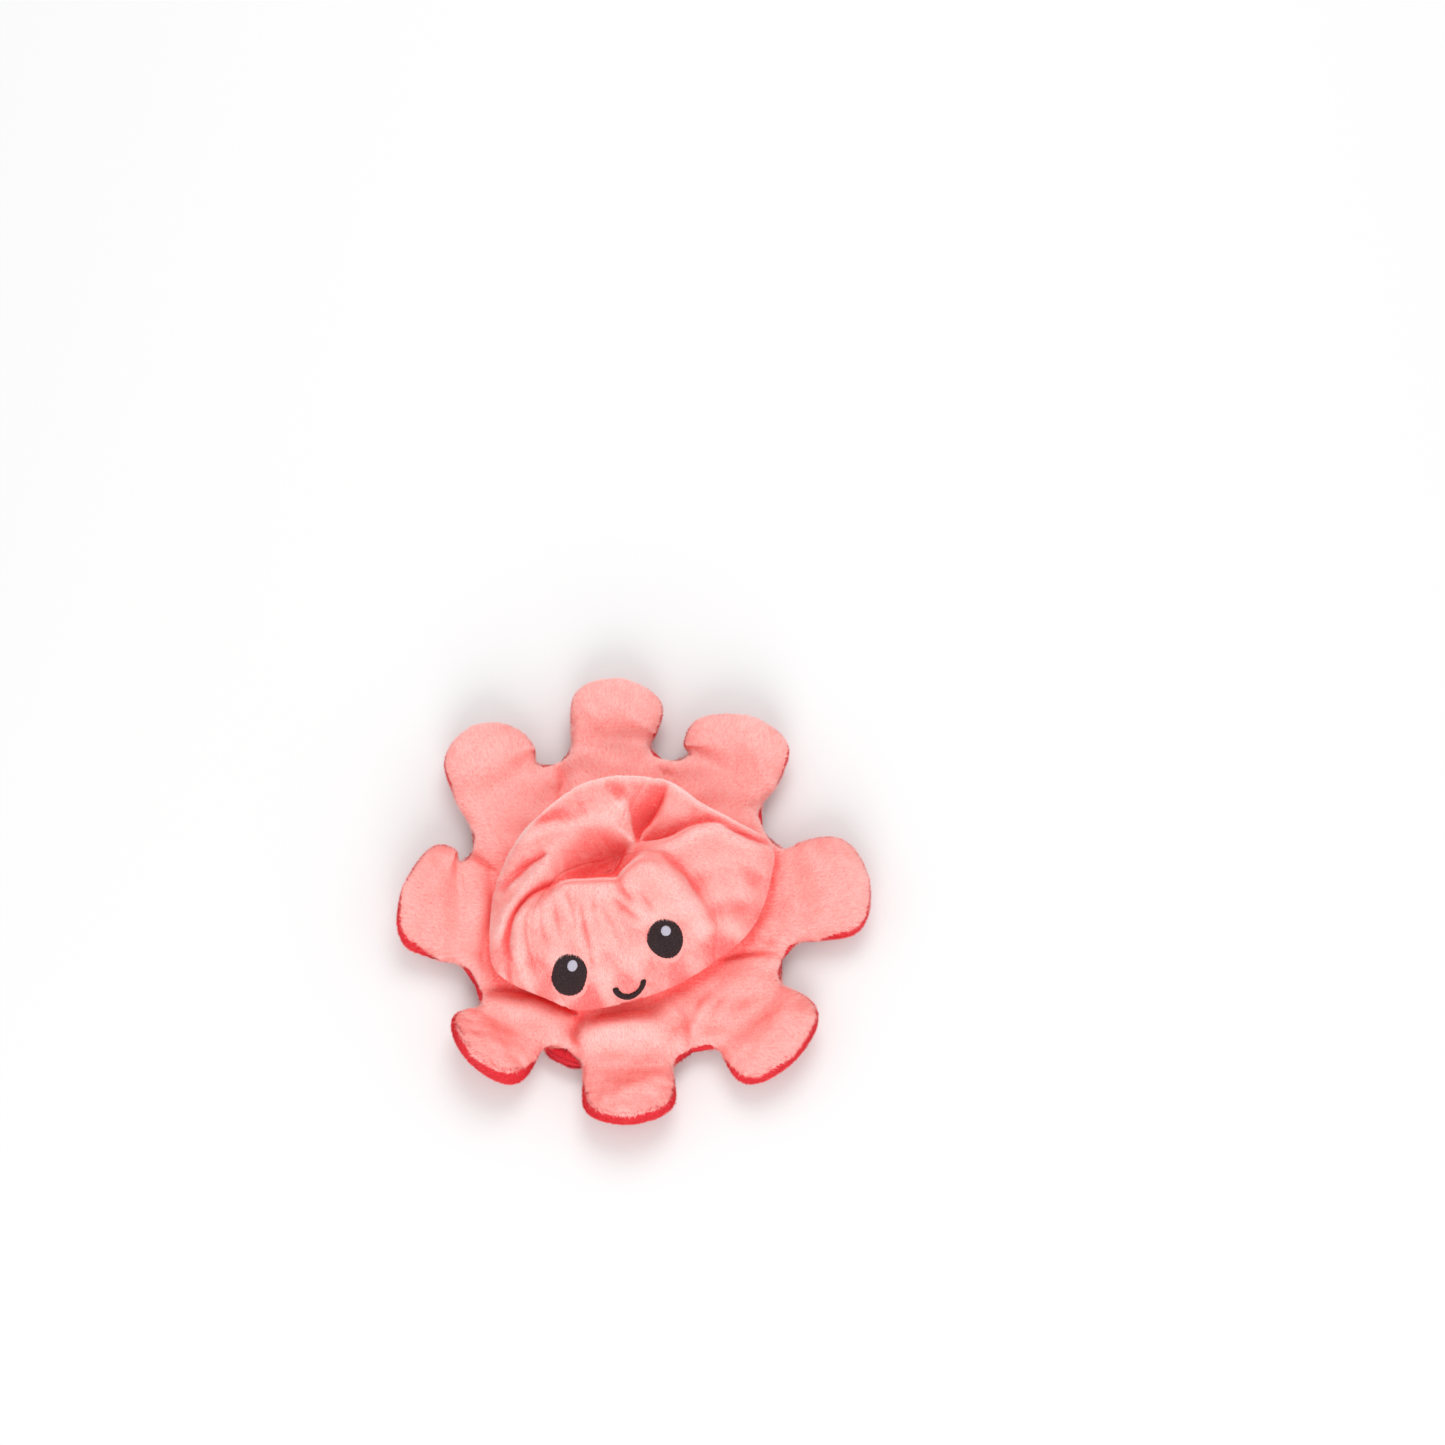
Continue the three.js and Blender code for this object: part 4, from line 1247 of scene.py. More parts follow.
@dataclass(frozen=True)
class Oval(Patch):
    """An oval of satin stitches."""

    size: Pair = (15.6, 17.9)
    seed: int = 1
    turns: int = 150
    rings: int = 16
    thread: float = 0.62
    ridge: float = 0.07
    thread_sway: float = 3
    past_rim: float = 1.05

    def outline(self, turn: Array) -> Array:
        """The rim at angles: an ellipse whose edge wavers by the stitches' ends."""
        edge = 1 + Ripple(0.17, 0.008, self.seed).at(turn[..., None])
        return np.stack([np.cos(turn), np.sin(turn)], axis=-1) * np.array(self.size) / 2 * edge[..., None]

    def sheet(self, height: Formula) -> Sheet:
        """Rings from the rim to the middle, over a dome of (1 - share^6)."""
        turn = np.linspace(0, 2 * np.pi, self.turns, endpoint=False)
        share = np.linspace(1, 0, self.rings)[:, None]
        flat = self.outline(turn)[None] * share[..., None]
        dome = (1 - share**6) * np.ones_like(turn)
        threads = np.cos(2 * np.pi * flat[..., 0] / self.thread + self.thread_sway * np.sin(flat[..., 1]))
        lift = self.lift(dome) + self.ridge * threads * dome
        return Sheet(self.on_surface(flat, lift, height), ringed=True)

    def covers(self, points: Array) -> Array:
        """Whether places lie under the oval."""
        return ((2 * self.flat(points) / self.size) ** 2).sum(-1) < self.past_rim


@dataclass(frozen=True)
class Smile(Patch):
    """A bow of satin stitches with round ends, whose stroke is narrower in plan where the face is steep."""

    steep: float = 0.3
    radius: float = 6.0
    stroke: float = 2.3
    start: float = 185.0
    sweep: float = 170.0
    end_turn: float = 8
    end_part: float = 10
    steps: int = 90
    columns: int = 11
    thread: float = 0.6
    ridge: float = 0.09
    covered: float = 0.42

    def sheet(self, height: Formula) -> Sheet:
        """A strip along an arc, with a lift of (1 - side^4) and round ends of one part in end_part of it."""
        angles = np.linspace(-self.end_turn, self.sweep + self.end_turn, self.steps)
        turn = np.radians(self.start + angles)[:, None]
        reach = np.linspace(0, 1, self.steps)[:, None]
        from_end = np.clip(np.abs(2 * reach - 1) * self.end_part - (self.end_part - 1), 0, 1)
        ends = np.sqrt(np.clip(1 - from_end**2, 0, 1))
        side = np.linspace(-1, 1, self.columns)[None]
        half = self.stroke / 2 * ends * (1 + Ripple(0.06, 0.05, 9).at(turn)[:, None])
        distance = self.radius + side * half * (1 - self.steep * np.sin(turn) ** 2)
        flat = np.stack([np.cos(turn) * distance, np.sin(turn) * distance], axis=-1)
        dome = (1 - side**4) * ends
        ridges = self.ridge * np.cos(2 * np.pi * turn * self.radius / self.thread) * dome
        return Sheet(self.on_surface(flat, self.lift(dome) + ridges, height), flipped=True)

    def covers(self, points: Array) -> Array:
        """Whether places lie under the bow."""
        flat = self.flat(points)
        turn = (np.degrees(np.arctan2(flat[:, 1], flat[:, 0])) - self.start) % 360
        near = np.abs(np.linalg.norm(flat, axis=-1) - self.radius) < self.stroke * self.covered
        return near & (turn < self.sweep)


@dataclass
class Face:
    """Two eyes with glints and a mouth, stitched on one of the toy's two heads."""

    ovals: tuple[Oval, ...]
    glints: tuple[Oval, ...]
    mouth: Smile
    height: Formula
    below: bool = False
    thickness: float = 0.8

    def bare(self, points: Array) -> Array:
        """Whether places lie under any stitches."""
        return np.any([patch.covers(points) for patch in (*self.ovals, self.mouth)], axis=0)

    def build(self, finishes: Finishes) -> None:
        """Makes the stitched pieces."""
        for patch in (*self.ovals, *self.glints, self.mouth):
            thread = finishes.white if patch in self.glints else finishes.black
            sheet = patch.sheet(self.height)
            sheet.flipped ^= self.below
            inside = sheet.points - np.array([0, 0, self.thickness * (-1 if self.below else 1)])
            piece = add_piece(patch.name, merged(cloth(sheet, inside)), thread)
            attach(piece, SKIRT_BODY)
            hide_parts(patch.node)


# The crimson crown


@dataclass
class Crown:
    """The crimson crown, the toy's second head, pushed up inside the coral one."""

    head: Head
    mouth_share: float = 0.74
    hollow_share: float = 0.42
    hollow_drop: float = 3
    mouth_height: float = 2.7
    powers: Pair = (4, 0.5)
    height_reach: float = 9
    cloth: float = 1.4
    rims: tuple[float, ...] = (-145, -50, -5, 50, 105, 160)
    rows: int = 44
    unevenness: Ripple = Ripple(24, 0.5, 31)
    pile_room: float = 0.6
    gores: Gores = Gores("crown", 26, 0.3, 300, 0.8, 1.2, 0.5, Pile(1.5, 0.4, 4, 55))

    def surface(self) -> Sheet:
        """The hollow from its mouth to the pole."""
        rims = np.radians([*self.rims, self.rims[0] + 360])
        steps = np.arange(self.gores.columns) / self.gores.columns
        bearing = (rims[:-1, None] + np.diff(rims)[:, None] * steps).ravel()
        share = np.sin(np.linspace(1, 0, self.rows) * np.pi / 2)[:, None]
        mouth = self.head.radius(bearing) * self.mouth_share
        plan = self.head.from_pole(np.broadcast_to(bearing, (self.rows, len(bearing))), mouth * share)
        sheet = Sheet(raised(plan, self.ceiling(plan, share)), flipped=True, ringed=True)
        sheet.points -= sheet.normals() * (self.gores.grooves(sheet) + self.pile_room)[..., None]
        return sheet

    def ceiling(self, plan: Array, share: Array) -> Array:
        """The hollow's height: a share of the head's height, turned down by (1 - share⁴)^0.5."""
        full = stuffed_height(plan, CROWN_HEIGHTS, self.height_reach) * self.hollow_share - self.hollow_drop
        full += self.unevenness.at(plan)
        rounding = np.clip(1 - share ** self.powers[0], 0, 1) ** self.powers[1]
        return self.mouth_height + (full - self.mouth_height) * rounding

    def height(self, plan: Array) -> Array:
        """Height of the hollow's ceiling at places in plan."""
        distance, widest = self.head.reach(plan)
        return self.ceiling(plan, distance / (widest * self.mouth_share))

    def build(self, finishes: Finishes, bare: Formula) -> None:
        """Makes the crown, with no pile where embroidery leaves it bare."""
        surface = self.surface()
        inside = surface.points - surface.normals() * self.cloth
        self.gores.sew(surface, inside, np.zeros(inside.shape[:2]), finishes.crimson, bare)


# Arms and skirt


SKIRT_FOLDS = (
    # between arms 8 and 1
    Fold(((-58.5, 44.5, -1), (-54.5, 41, -4), (-51, 37, -4), (-47.5, 32.5, -3)), 3, 1.5, 1.5),
    # between arms 1 and 2
    Fold(((-8.5, 68.5, 0), (-9, 64, -3.5), (-9.5, 57.5, -3.5), (-12.5, 53.5, -2)), 3.5, 1.5, 1.5),
    # between arms 2 and 3
    Fold(((34, 52, 0), (35, 48, -2), (32, 44.5, 0)), 1.6, 1.6, 1.5),
    Fold(((38, 44, 0), (36.5, 47.5, -1.6), (35.5, 49.5, 0)), 1.6, 1.6, 1.5),
    # between arms 4 and 5
    Fold(((27.5, -35, -1), (34.5, -36.5, -3), (42.5, -39.5, -3), (50.5, -43, -2), (53, -45, 0)),
         2.5, 1.6, 1.5),
    Fold(((44.5, -30, 0), (47.5, -36, -1.8), (48.5, -40.5, 0)), 2.4, 2.4),
    # the pleat between arms 5 and 6
    Fold(((3.5, -43, 0), (4, -49, -1.6), (3.5, -56, -2.4), (2.5, -63, -2.8), (1, -67, -1)), 1.4, 1.4, 1.5),
    Fold(((20, -46, 0), (14, -51.5, 1.2), (7.5, -58, 1.2), (3.5, -64, 0)), 2.2, 2.2),
    Fold(((26.5, -50, 0), (20, -51.5, -0.7), (14, -56, -0.9), (8, -62.5, -0.8), (4, -66.5, 0)),
         1.8, 1.8, 1.6),
    # the root of arm 6
    Fold(((-40, -41, 0), (-33.5, -44, 4), (-24.5, -47, 6), (-14.5, -50, 6), (-5.5, -52, 3), (0, -54, 0)),
         5, 6),
    # between arms 6 and 7
    Fold(((-34.5, -36.5, -2), (-38.5, -41.5, -4), (-40.5, -46.5, -4), (-41, -53.5, -2)), 2, 2, 1.5),
    # behind arm 7
    Fold(((-75.5, -15.5, 0), (-69, -14.5, -2), (-60.5, -15, -3), (-52, -20, -3.5), (-44.5, -27, -3),
         (-37, -35.5, -2.5), (-34.5, -36.5, 0)), 2.5, 1.6, 1.5),
    # the root of arm 7
    Fold(((-71, -20, 0), (-62, -20.5, 2), (-54, -26, 3), (-46.5, -33, 2.5), (-41, -40, 0)), 5, 5),
    # beside arm 8
    Fold(((-49, 30.5, -1), (-53, 20, -2.5), (-56.5, 12, -3), (-60, 3, -2), (-62, -7, 0)), 2.5, 2, 1.6),
    # the root of arm 8
    Fold(((-54.5, 32.5, 0), (-56.5, 22, 2), (-61, 11.5, 2), (-64, 3, 0)), 5, 5),
)  # fmt: skip


EDGE_DRIFT = Drift((
    (-13, 67, 2.9, 3.9), (-5, 69, 2.1, 2.4), (-49, 47, -3.1, 3.5), (-48, 56, -2.2, 3.9), (-60, 40, 0.8, 4.8),
    (-66, -9, -5.5, -0.2), (-67, -16, -6, 0), (-71, 0, -3.5, 0.4), (67, 9, -3, 3.9), (69, 1, -3.9, 2.3),
    (41, 54, -4.1, -1.3), (50, 54, -3.3, 2), (47, -50, 1.9, 1.1),
))  # fmt: skip


@dataclass(frozen=True)
class Ring:
    """What the arms share: the sewn line that they bend at, the seam and the skirt between head and arms."""

    radius: float = 68
    height: float = 8
    coral_neck: float = 7.4
    crimson_neck: float = 3
    web_dip: float = 2.5
    flares: tuple[float, ...] = (0.5, 0.5, 0.5, 0.8, 1.8, 7, 2, 0.5)
    web_columns: int = 10
    neck_columns: int = 46
    top: float = 13
    sag: float = 0.4
    flat_share: float = 0.55
    seam_gap: float = 0.3
    allowance: float = 0.9
    pile_room: float = 0.9
    cloth: float = 1.5
    bend_from: float = 64
    bend_to: float = 79

    def from_seam(self, depth: float) -> float:
        """How far from the seam a layer's edge lies: half the gap, and past the seam at the lining."""
        from_lining = abs(depth - self.pile_room - self.cloth) / self.cloth
        return self.seam_gap / 2 - self.allowance * max(1 - from_lining, 0)

    def neck(self, up: int) -> float:
        """Half the thickness of the sewn line, on the coral side or the crimson one."""
        return self.coral_neck if up > 0 else self.crimson_neck

    def sides(self) -> Array:
        """Where the columns lie across a neck or an arm, from -1 to 1 and closer at the edges."""
        return np.sin(np.linspace(-1, 1, self.neck_columns + 1) * np.pi / 2)


@dataclass
class Arm:
    """One arm past its sewn line: a coral cover over a crimson one.

    In its methods up is 1 for the coral cover and -1 for the crimson one, depth is how far under the
    solid's surface a layer lies, and share and side are shares of the reach and of the half width.
    """

    number: int
    bearing: float
    heading: float
    reach: float
    neck: float
    lobe: float
    puff: float
    lift: float
    roll: float
    ring: Ring
    belly: float = 12
    lobe_at: float = 0.55
    full_at: float = 0.5
    outline_power: float = 2.4
    tip_power: float = 2.6
    side_power: float = 0.55
    neck_power: float = 12
    round_at: float = 0.45
    seam_rise: float = 3.4
    rows: int = 46
    stitch: float = 4.6
    rim_length: float = 1.2
    pucker: float = 0.12
    pucker_power: float = 8
    uneven_from: float = 2
    roll_from: float = 0.2
    roll_over: float = 0.35
    least_roll: float = 0.3
    roll_turn: float = 1.6
    least_move: float = 0.01

    def __post_init__(self) -> None:
        """Works out where the arm is sewn on and where it points."""
        self.outward = towards(self.bearing)
        self.hinge = self.outward * self.ring.radius
        self.tangent = np.array([self.outward[1], -self.outward[0]])
        self.along = towards(self.heading)
        self.across = np.array([self.along[1], -self.along[0]])

    @property
    def body(self) -> str:
        """The arm's body."""
        return f"arm_{self.number}"

    def sewn_line(self, depth: float) -> Array:
        """Places along the line that the arm is sewn on, in a layer at a depth under the solid's surface."""
        return self.hinge + self.tangent * (self.neck - depth) * self.ring.sides()[:, None]

    def half_width(self, share: Array) -> Array:
        """Half width: a smooth step from neck to lobe, then lobe times (1 - x^2.4)^0.5 to the tip."""
        beyond = past(share, self.lobe_at)
        narrow = self.neck + (self.lobe - self.neck) * smooth(share / self.lobe_at)
        return np.where(share < self.lobe_at, narrow, self.lobe * np.sqrt(1 - beyond**self.outline_power))

    def fullness(self, share: Array, up: int) -> Array:
        """Height over the seam in the middle: a smooth step to the lobe, then (1 - x^2.6)^0.5 to the tip."""
        full, neck = self.puff if up > 0 else self.belly, self.ring.neck(up)
        beyond = past(share, self.full_at)
        return (neck + (full - neck) * smooth(share / self.full_at)) * np.sqrt(1 - beyond**self.tip_power)

    def seam_height(self, share: Array) -> Array:
        """Height of the seam: the sewn line's, a smooth rise, and the tip's lift times share cubed."""
        return self.ring.height + self.seam_rise * smooth(share / self.full_at) + self.lift * share**3

    def unevenness(self, plan: Array) -> Array:
        """How far the stuffing pushes the cover out of its even shape, in broad and in fine waves."""
        broad, fine = Ripple(26, 0.6, 40 + self.number), Ripple(8, 0.2, 60 + self.number)
        return broad.at(plan) + fine.at(plan)

    def plan(self, share: Array, side: Array, depth: float) -> Array:
        """Places at shares of the reach and the half width: hinge + along * reach + across * half width."""
        turn = smooth(share / self.full_at)[..., None]
        half = np.clip(self.half_width(share) - depth, 0, None)
        place = self.hinge + self.along * ((self.reach - depth) * share)[..., None]
        return place + unit(self.tangent * (1 - turn) + self.across * turn) * (half * side)[..., None]

    def surface(self, share: Array, side: Array, plan: Array, up: int, depth: float) -> Array:
        """Points of a cover over places in plan.

        The height is the seam's, plus or minus the fullness times (1 - |side|^p)^q, where p and q go
        from a flat section at the sewn line to a round one at the lobe. Near the seam the stitches
        pull it in.
        """
        rounded = smooth(share / self.round_at)
        p = self.neck_power + (2 - self.neck_power) * rounded
        q = 0.5 + (self.side_power - 0.5) * rounded
        profile = np.clip(1 - np.abs(side) ** p, 0, 1) ** q
        full = np.clip(self.fullness(share, up) - depth, 0, None)
        swell = (full + self.unevenness(plan) * rounded * (full > self.uneven_from)) * profile
        stitches = 1 + np.cos(2 * np.pi * self.reach * self.rim_length * share / self.stitch)
        pucker = stitches * np.abs(side) ** self.pucker_power * rounded
        swell = swell * (1 - self.pucker * pucker)
        height = self.seam_height(share) + up * (self.ring.from_seam(depth) + swell)
        if up > 0:
            height = height + folded(plan, SKIRT_FOLDS) * profile
        return raised(plan, np.maximum(height, 0.0))

    def inwards(self, share: Array, side: Array) -> Array:
        """The way from the rim into the arm, by how far the crimson cover comes round the rim there.

        The rim's own way in is heading * h' - across * reach * side, where h' is the half width's
        slope. The distance is the roll times a smooth step past the neck, and more where the rim
        looks to the front.
        """
        step = 0.004
        slope = (self.half_width(share) - self.half_width(share - step)) / step
        way = unit(self.along * slope[..., None] - self.across * (self.reach * side)[..., None])
        to_front = smooth(0.5 - way @ ROLL_TOWARDS / self.roll_turn)
        past_neck = smooth((share - self.roll_from) / self.roll_over)
        rolled = past_neck * (self.least_roll + (1 - self.least_roll) * to_front)
        return way * (self.roll * rolled)[..., None]

    def moved(self, inwards: Array) -> Array:
        """Whether the crimson cover comes round the rim by more than the least distance."""
        return np.linalg.norm(inwards, axis=-1, keepdims=True) > self.least_move

    def shares(self) -> Array:
        """The rows' shares of the reach, which lie closer at the tip."""
        return np.sin(np.linspace(0, 1, self.rows) * np.pi / 2)

    def on_top(self, plan: Array, depth: float) -> Array:
        """Points of the coral side's surface over places past the neck."""
        out = plan - self.hinge
        share = np.clip(out @ self.along / (self.reach - depth), 0, 1)
        half = np.maximum(self.half_width(share) - depth, TINY)
        return self.surface(share, np.clip(out @ self.across / half, -1, 1), plan, 1, depth)

    def points(self, up: int, depth: float) -> Array:
        """The cover from the sewn line to the tip, as a layer at a depth under the solid's surface.

        Returns:
            Rows from the sewn line to the tip, columns across.
        """
        share, side = np.meshgrid(self.shares(), self.ring.sides(), indexing="ij")
        plan = self.plan(share, side, depth)
        points = self.surface(share, side, plan, up, depth)
        if up > 0:
            beyond = past(share, self.lobe_at)
            edge = (1 - np.sqrt((1 - side**2) * (1 - beyond**2))) ** 2
            inwards = self.inwards(share, side) * edge[..., None]
            points = np.where(self.moved(inwards), self.on_top(plan + inwards, depth), points)
        return points

    def lips(self, depth: float) -> tuple[Array, Array]:
        """The strips by which the crimson cover comes round the rim onto the coral side, left and right.

        Returns:
            Both strips: rows from the sewn line to the tip, columns in from the rim on the right and
            the other way on the left.
        """
        share = self.shares()[:, None]
        steps = np.linspace(0, 1, self.ring.web_columns + 1)[1:]
        strips = []
        for side in (-1.0, 1.0):
            side = np.full_like(share, side)
            rim, way = self.plan(share, side, depth), self.inwards(share, side)
            top = self.on_top(rim + way * steps[:, None], depth)
            seam = self.surface(share, side, rim, -1, depth)
            strips.append(np.where(self.moved(way), top, seam))
        return strips[0][:, ::-1], strips[1]


@dataclass
class Skirt:
    """The ring of cloth between the head and the arms, coral above and crimson below, and the arms on it.

    In its methods up is 1 for the coral side and -1 for the crimson one, and depth is how far under
    the solids' surface a layer lies.
    """

    arms: tuple[Arm, ...]
    head: Head
    ring: Ring
    rows: int = 46
    inner_rows: int = 14
    tuck: float = 3.0
    mouth_share: float = 0.74
    web_power: float = 10
    folds_from: float = 0.05
    folds_over: float = 0.1
    unevenness: Ripple = Ripple(17, 0.4, 12)
    uneven_over: float = 0.2
    # painted light and shade on the coral pile: folds, a painted shadow beside the head, and slopes facing
    # the lamp paler
    painted_fold_shade: float = 0.22
    fold_depth: float = 2.5
    painted_shadow_tone: float = -0.4
    painted_shadow_reach: float = 2
    painted_light_tone: float = 0.08
    whole_tone: float = 0.06
    closed_below: float = 0.02
    ring_seed: int = 700
    arm_seed: int = 500
    piles: tuple[Pile, Pile] = (
        Pile(length=2.2, width=0.28, density=11, lean=60, scatter=24, rib=0.1),
        Pile(length=1.5, width=0.34, density=6, lean=62),
    )

    def web(self, start: Array, end: Array, share: Array, dip: float, depth: float) -> Array:
        """The edge between two necks: drawn in by dip (1 - x⁴) + depth (1 - x⁸), with x = ±1 at them."""
        place = start + (end - start) * share[:, None]
        distance = np.linalg.norm(place, axis=-1, keepdims=True)
        x = 2 * share[:, None] - 1
        return place * (1 - (dip * (1 - x**4) + depth * (1 - x**8)) / distance)

    def edge(self, up: int, depth: float) -> tuple[Array, Array]:
        """The skirt's edge, clockwise: for each arm half a web, the neck and half the next web.

        Returns:
            The places in plan, and how far each is across its neck, from -1 to 1, or past them on a web.
        """
        count = self.ring.web_columns
        half = np.linspace(0, 0.5, count + 1)
        on_web = np.full(count, 2.0)
        necks = [arm.sewn_line(depth) for arm in self.arms]
        dips = [self.ring.web_dip - (flare if up < 0 else 0) for flare in self.ring.flares]
        places, across = [], []
        for number, neck in enumerate(necks):
            before, after = necks[number - 1], necks[(number + 1) % len(necks)]
            places += [
                self.web(before[-1], neck[0], 0.5 + half[:-1], dips[number - 1], depth),
                neck,
                self.web(neck[-1], after[0], half[1:-1], dips[number], depth),
            ]
            across += [-on_web, self.ring.sides(), on_web[1:]]
        return np.concatenate(places), np.concatenate(across)

    @property
    def sector(self) -> int:
        """The number of the ring's columns that belong to an arm."""
        return 2 * self.ring.web_columns + self.ring.neck_columns

    def plan(self, share: Array, up: int, depth: float) -> Array:
        """Places from under the head, or from the crown's mouth, out to the edge.

        Returns:
            Rows outwards, columns clockwise.
        """
        edge, _ = self.edge(up, depth)
        bearing = self.head.bearing(edge)
        reach = self.head.radius(bearing)
        reach = reach * self.head.base_share - self.tuck if up > 0 else reach * self.mouth_share
        inner = self.head.from_pole(bearing, reach)
        return inner + (edge - inner) * share[:, None, None]

    def points(self, up: int, depth: float) -> Array:
        """The ring's cloth between the head and the edge, as a layer at a depth under the solids' surface.

        The coral side falls from the skirt's top to the neck's with a smooth step. The crimson side
        lies flat out to its share and then rises. Both turn to the seam at a web by (1 - t^10)^0.5.

        Returns:
            Rows outwards, columns clockwise.
        """
        ring, share = self.ring, np.linspace(0, 1, self.rows)
        plan = self.plan(share, up, depth)
        share = share[:, None]
        open_edge = np.clip(np.abs(self.edge(up, depth)[1]), 0, 1) ** self.arms[0].neck_power
        rounding = np.sqrt(np.clip(1 - open_edge * share**self.web_power, 0, 1))
        if up > 0:
            level = ring.top - ring.sag * np.sin(np.pi * share)
            level = level - (ring.top - ring.height - ring.coral_neck) * smooth(share)
            level = level + folded(plan, SKIRT_FOLDS) * smooth((share - self.folds_from) / self.folds_over)
            level = level + self.unevenness.at(plan) * smooth(share / self.uneven_over)
        else:
            level = (ring.height - ring.crimson_neck) * smooth(past(share, ring.flat_share))
        seam = ring.height + up * ring.from_seam(depth)
        return EDGE_DRIFT.at(raised(plan, np.maximum(seam + (level - up * depth - seam) * rounding, 0.0)))

    def painted_shading(self, points: Array, normals: Array, up: int) -> Array:
        """Painted light and shade on the coral pile: darker in sinking folds and paler on rising ones, with a
        painted shadow beside the head. Slopes that face up and back towards the lamp are paler. The crimson
        side has none.
        """
        if up < 0:
            return np.zeros((*points.shape[:2], 1))
        plan = points[..., :2]
        distance, widest = self.head.reach(plan)
        folds = self.painted_fold_shade * np.tanh(folded(plan, SKIRT_FOLDS) / self.fold_depth)
        painted_head_shadow = self.painted_shadow_tone * np.exp(-np.clip(distance - widest, 0, None) / self.painted_shadow_reach)
        painted_light = self.painted_light_tone * (normals @ PAINTED_LIGHT_WAY - PAINTED_LIGHT_MIDDLE)
        return (folds + painted_head_shadow + painted_light + self.whole_tone)[..., None]

    def with_lobe(self, number: int, base: Array, up: int, depth: float) -> Array:
        """An arm's sector of the whole ring's points, and the arm's lobe, in one grid.

        Past the sewn line the web's columns lie on the lobe's side edges on the coral side, so they
        close up there, and make the lips on the crimson side.
        """
        web, first = self.ring.web_columns, number * self.sector
        columns = np.arange(first, first + self.sector + 1) % base.shape[1]
        base = base[self.inner_rows - 1 :][:, columns]
        lobe = self.arms[number].points(up, depth)
        if up > 0:
            left, right = (np.repeat(lobe[:, [end]], web, axis=1) for end in (0, -1))
        else:
            left, right = self.arms[number].lips(depth)
        base[-1, web:-web] = EDGE_DRIFT.at(lobe[0])
        return np.concatenate([base, EDGE_DRIFT.at(np.concatenate([left[1:], lobe[1:], right[1:]], axis=1))])

    def with_lobe_normals(self, number: int, grid: Sheet, ring_normals: Array) -> Array:
        """The normals of a sector with its lobe, which are the whole ring's up to the sewn line."""
        web, first = self.ring.web_columns, number * self.sector
        columns = np.arange(first, first + self.sector + 1) % ring_normals.shape[1]
        base = ring_normals[self.inner_rows - 1 :][:, columns]
        last = len(base) - 1
        normals = grid.normals()
        closed = np.linalg.norm(grid.slopes()[1], axis=-1, keepdims=True)[last:] < self.closed_below
        for strip, edge in ((np.s_[:, :web], web), (np.s_[:, -web:], -web - 1)):
            normals[last:][strip] = np.where(closed[strip], normals[last:, [edge]], normals[last:][strip])
        normals[:last] = base[:last]
        normals[last, :web], normals[last, -web:] = base[-1, :web], base[-1, -web:]
        return normals

    def build_side(self, up: int, finishes: Finishes) -> None:
        """Makes the ring's inner part and the eight covers of one side, with their pile."""
        plush, pile = (finishes.coral, self.piles[0]) if up > 0 else (finishes.crimson, self.piles[1])
        colour = plush.colour
        depths = self.ring.pile_room, self.ring.pile_room + self.ring.cloth
        outside, inside = (self.points(up, depth) for depth in depths)
        normals = Sheet(outside, flipped=up < 0, ringed=True).normals()
        sheet = Sheet(outside[: self.inner_rows], flipped=up < 0, ringed=True)
        body = merged(cloth(sheet, inside[: self.inner_rows]))
        piece = add_piece(f"{colour}_skirt_plush", body, plush.cloth)
        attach(piece, SKIRT_BODY)
        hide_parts(f"{colour}_skirt")
        facing = normals[: self.inner_rows]
        # the coral pile carries painted light and shade
        blades = pile.on(sheet, facing, self.painted_shading(sheet.points, facing, up), 1, self.ring_seed + up, nowhere)
        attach(add_piece(f"{colour}_skirt_pile", blades, plush.pile), SKIRT_BODY)
        for number, arm in enumerate(self.arms):
            sheet = Sheet(self.with_lobe(number, outside, up, depths[0]), flipped=up < 0)
            facing = self.with_lobe_normals(number, sheet, normals)
            body = merged(cloth(sheet, self.with_lobe(number, inside, up, depths[1])))
            piece = add_piece(f"{arm.body}_{colour}_plush", body, plush.cloth)
            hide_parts(f"{arm.body}_{colour}_cover")
            # the coral pile carries painted light and shade
            painted_shading, seed = self.painted_shading(sheet.points, facing, up), self.arm_seed + 10 * number + up
            blades = pile.on(sheet, facing, painted_shading, 1, seed, nowhere)
            for part in (piece, add_piece(f"{arm.body}_{colour}_pile", blades, plush.pile)):
                self.bend(part, arm)

    def bend(self, piece: bpy.types.Object, arm: Arm) -> None:
        """Applies the piece's transform to its mesh; the ends of the arm's sewn line are worked out but not
        used.
        """
        ends = [
            tuple((np.append(arm.outward * reach, self.ring.height) + RING_CENTRE) * MILLIMETRE)
            for reach in (self.ring.bend_from, self.ring.bend_to)
        ]
        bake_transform(piece)

    def stuff(self, arm: Arm, finishes: Finishes) -> None:
        """Makes an arm's filling, a cloth's thickness inside the linings of its covers."""
        depth = self.ring.pile_room + 2 * self.ring.cloth
        top, bottom = (EDGE_DRIFT.at(arm.points(up, depth)) for up in (1, -1))
        piece = add_piece(f"{arm.body}_fibre", merged(cloth(Sheet(top), bottom)), finishes.fibre)
        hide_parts(f"{arm.body}_filling")
        self.bend(piece, arm)

    def build(self, finishes: Finishes) -> None:
        """Makes both sides and the arms' fillings."""
        for up in (1, -1):
            self.build_side(up, finishes)
        for arm in self.arms:
            self.stuff(arm, finishes)


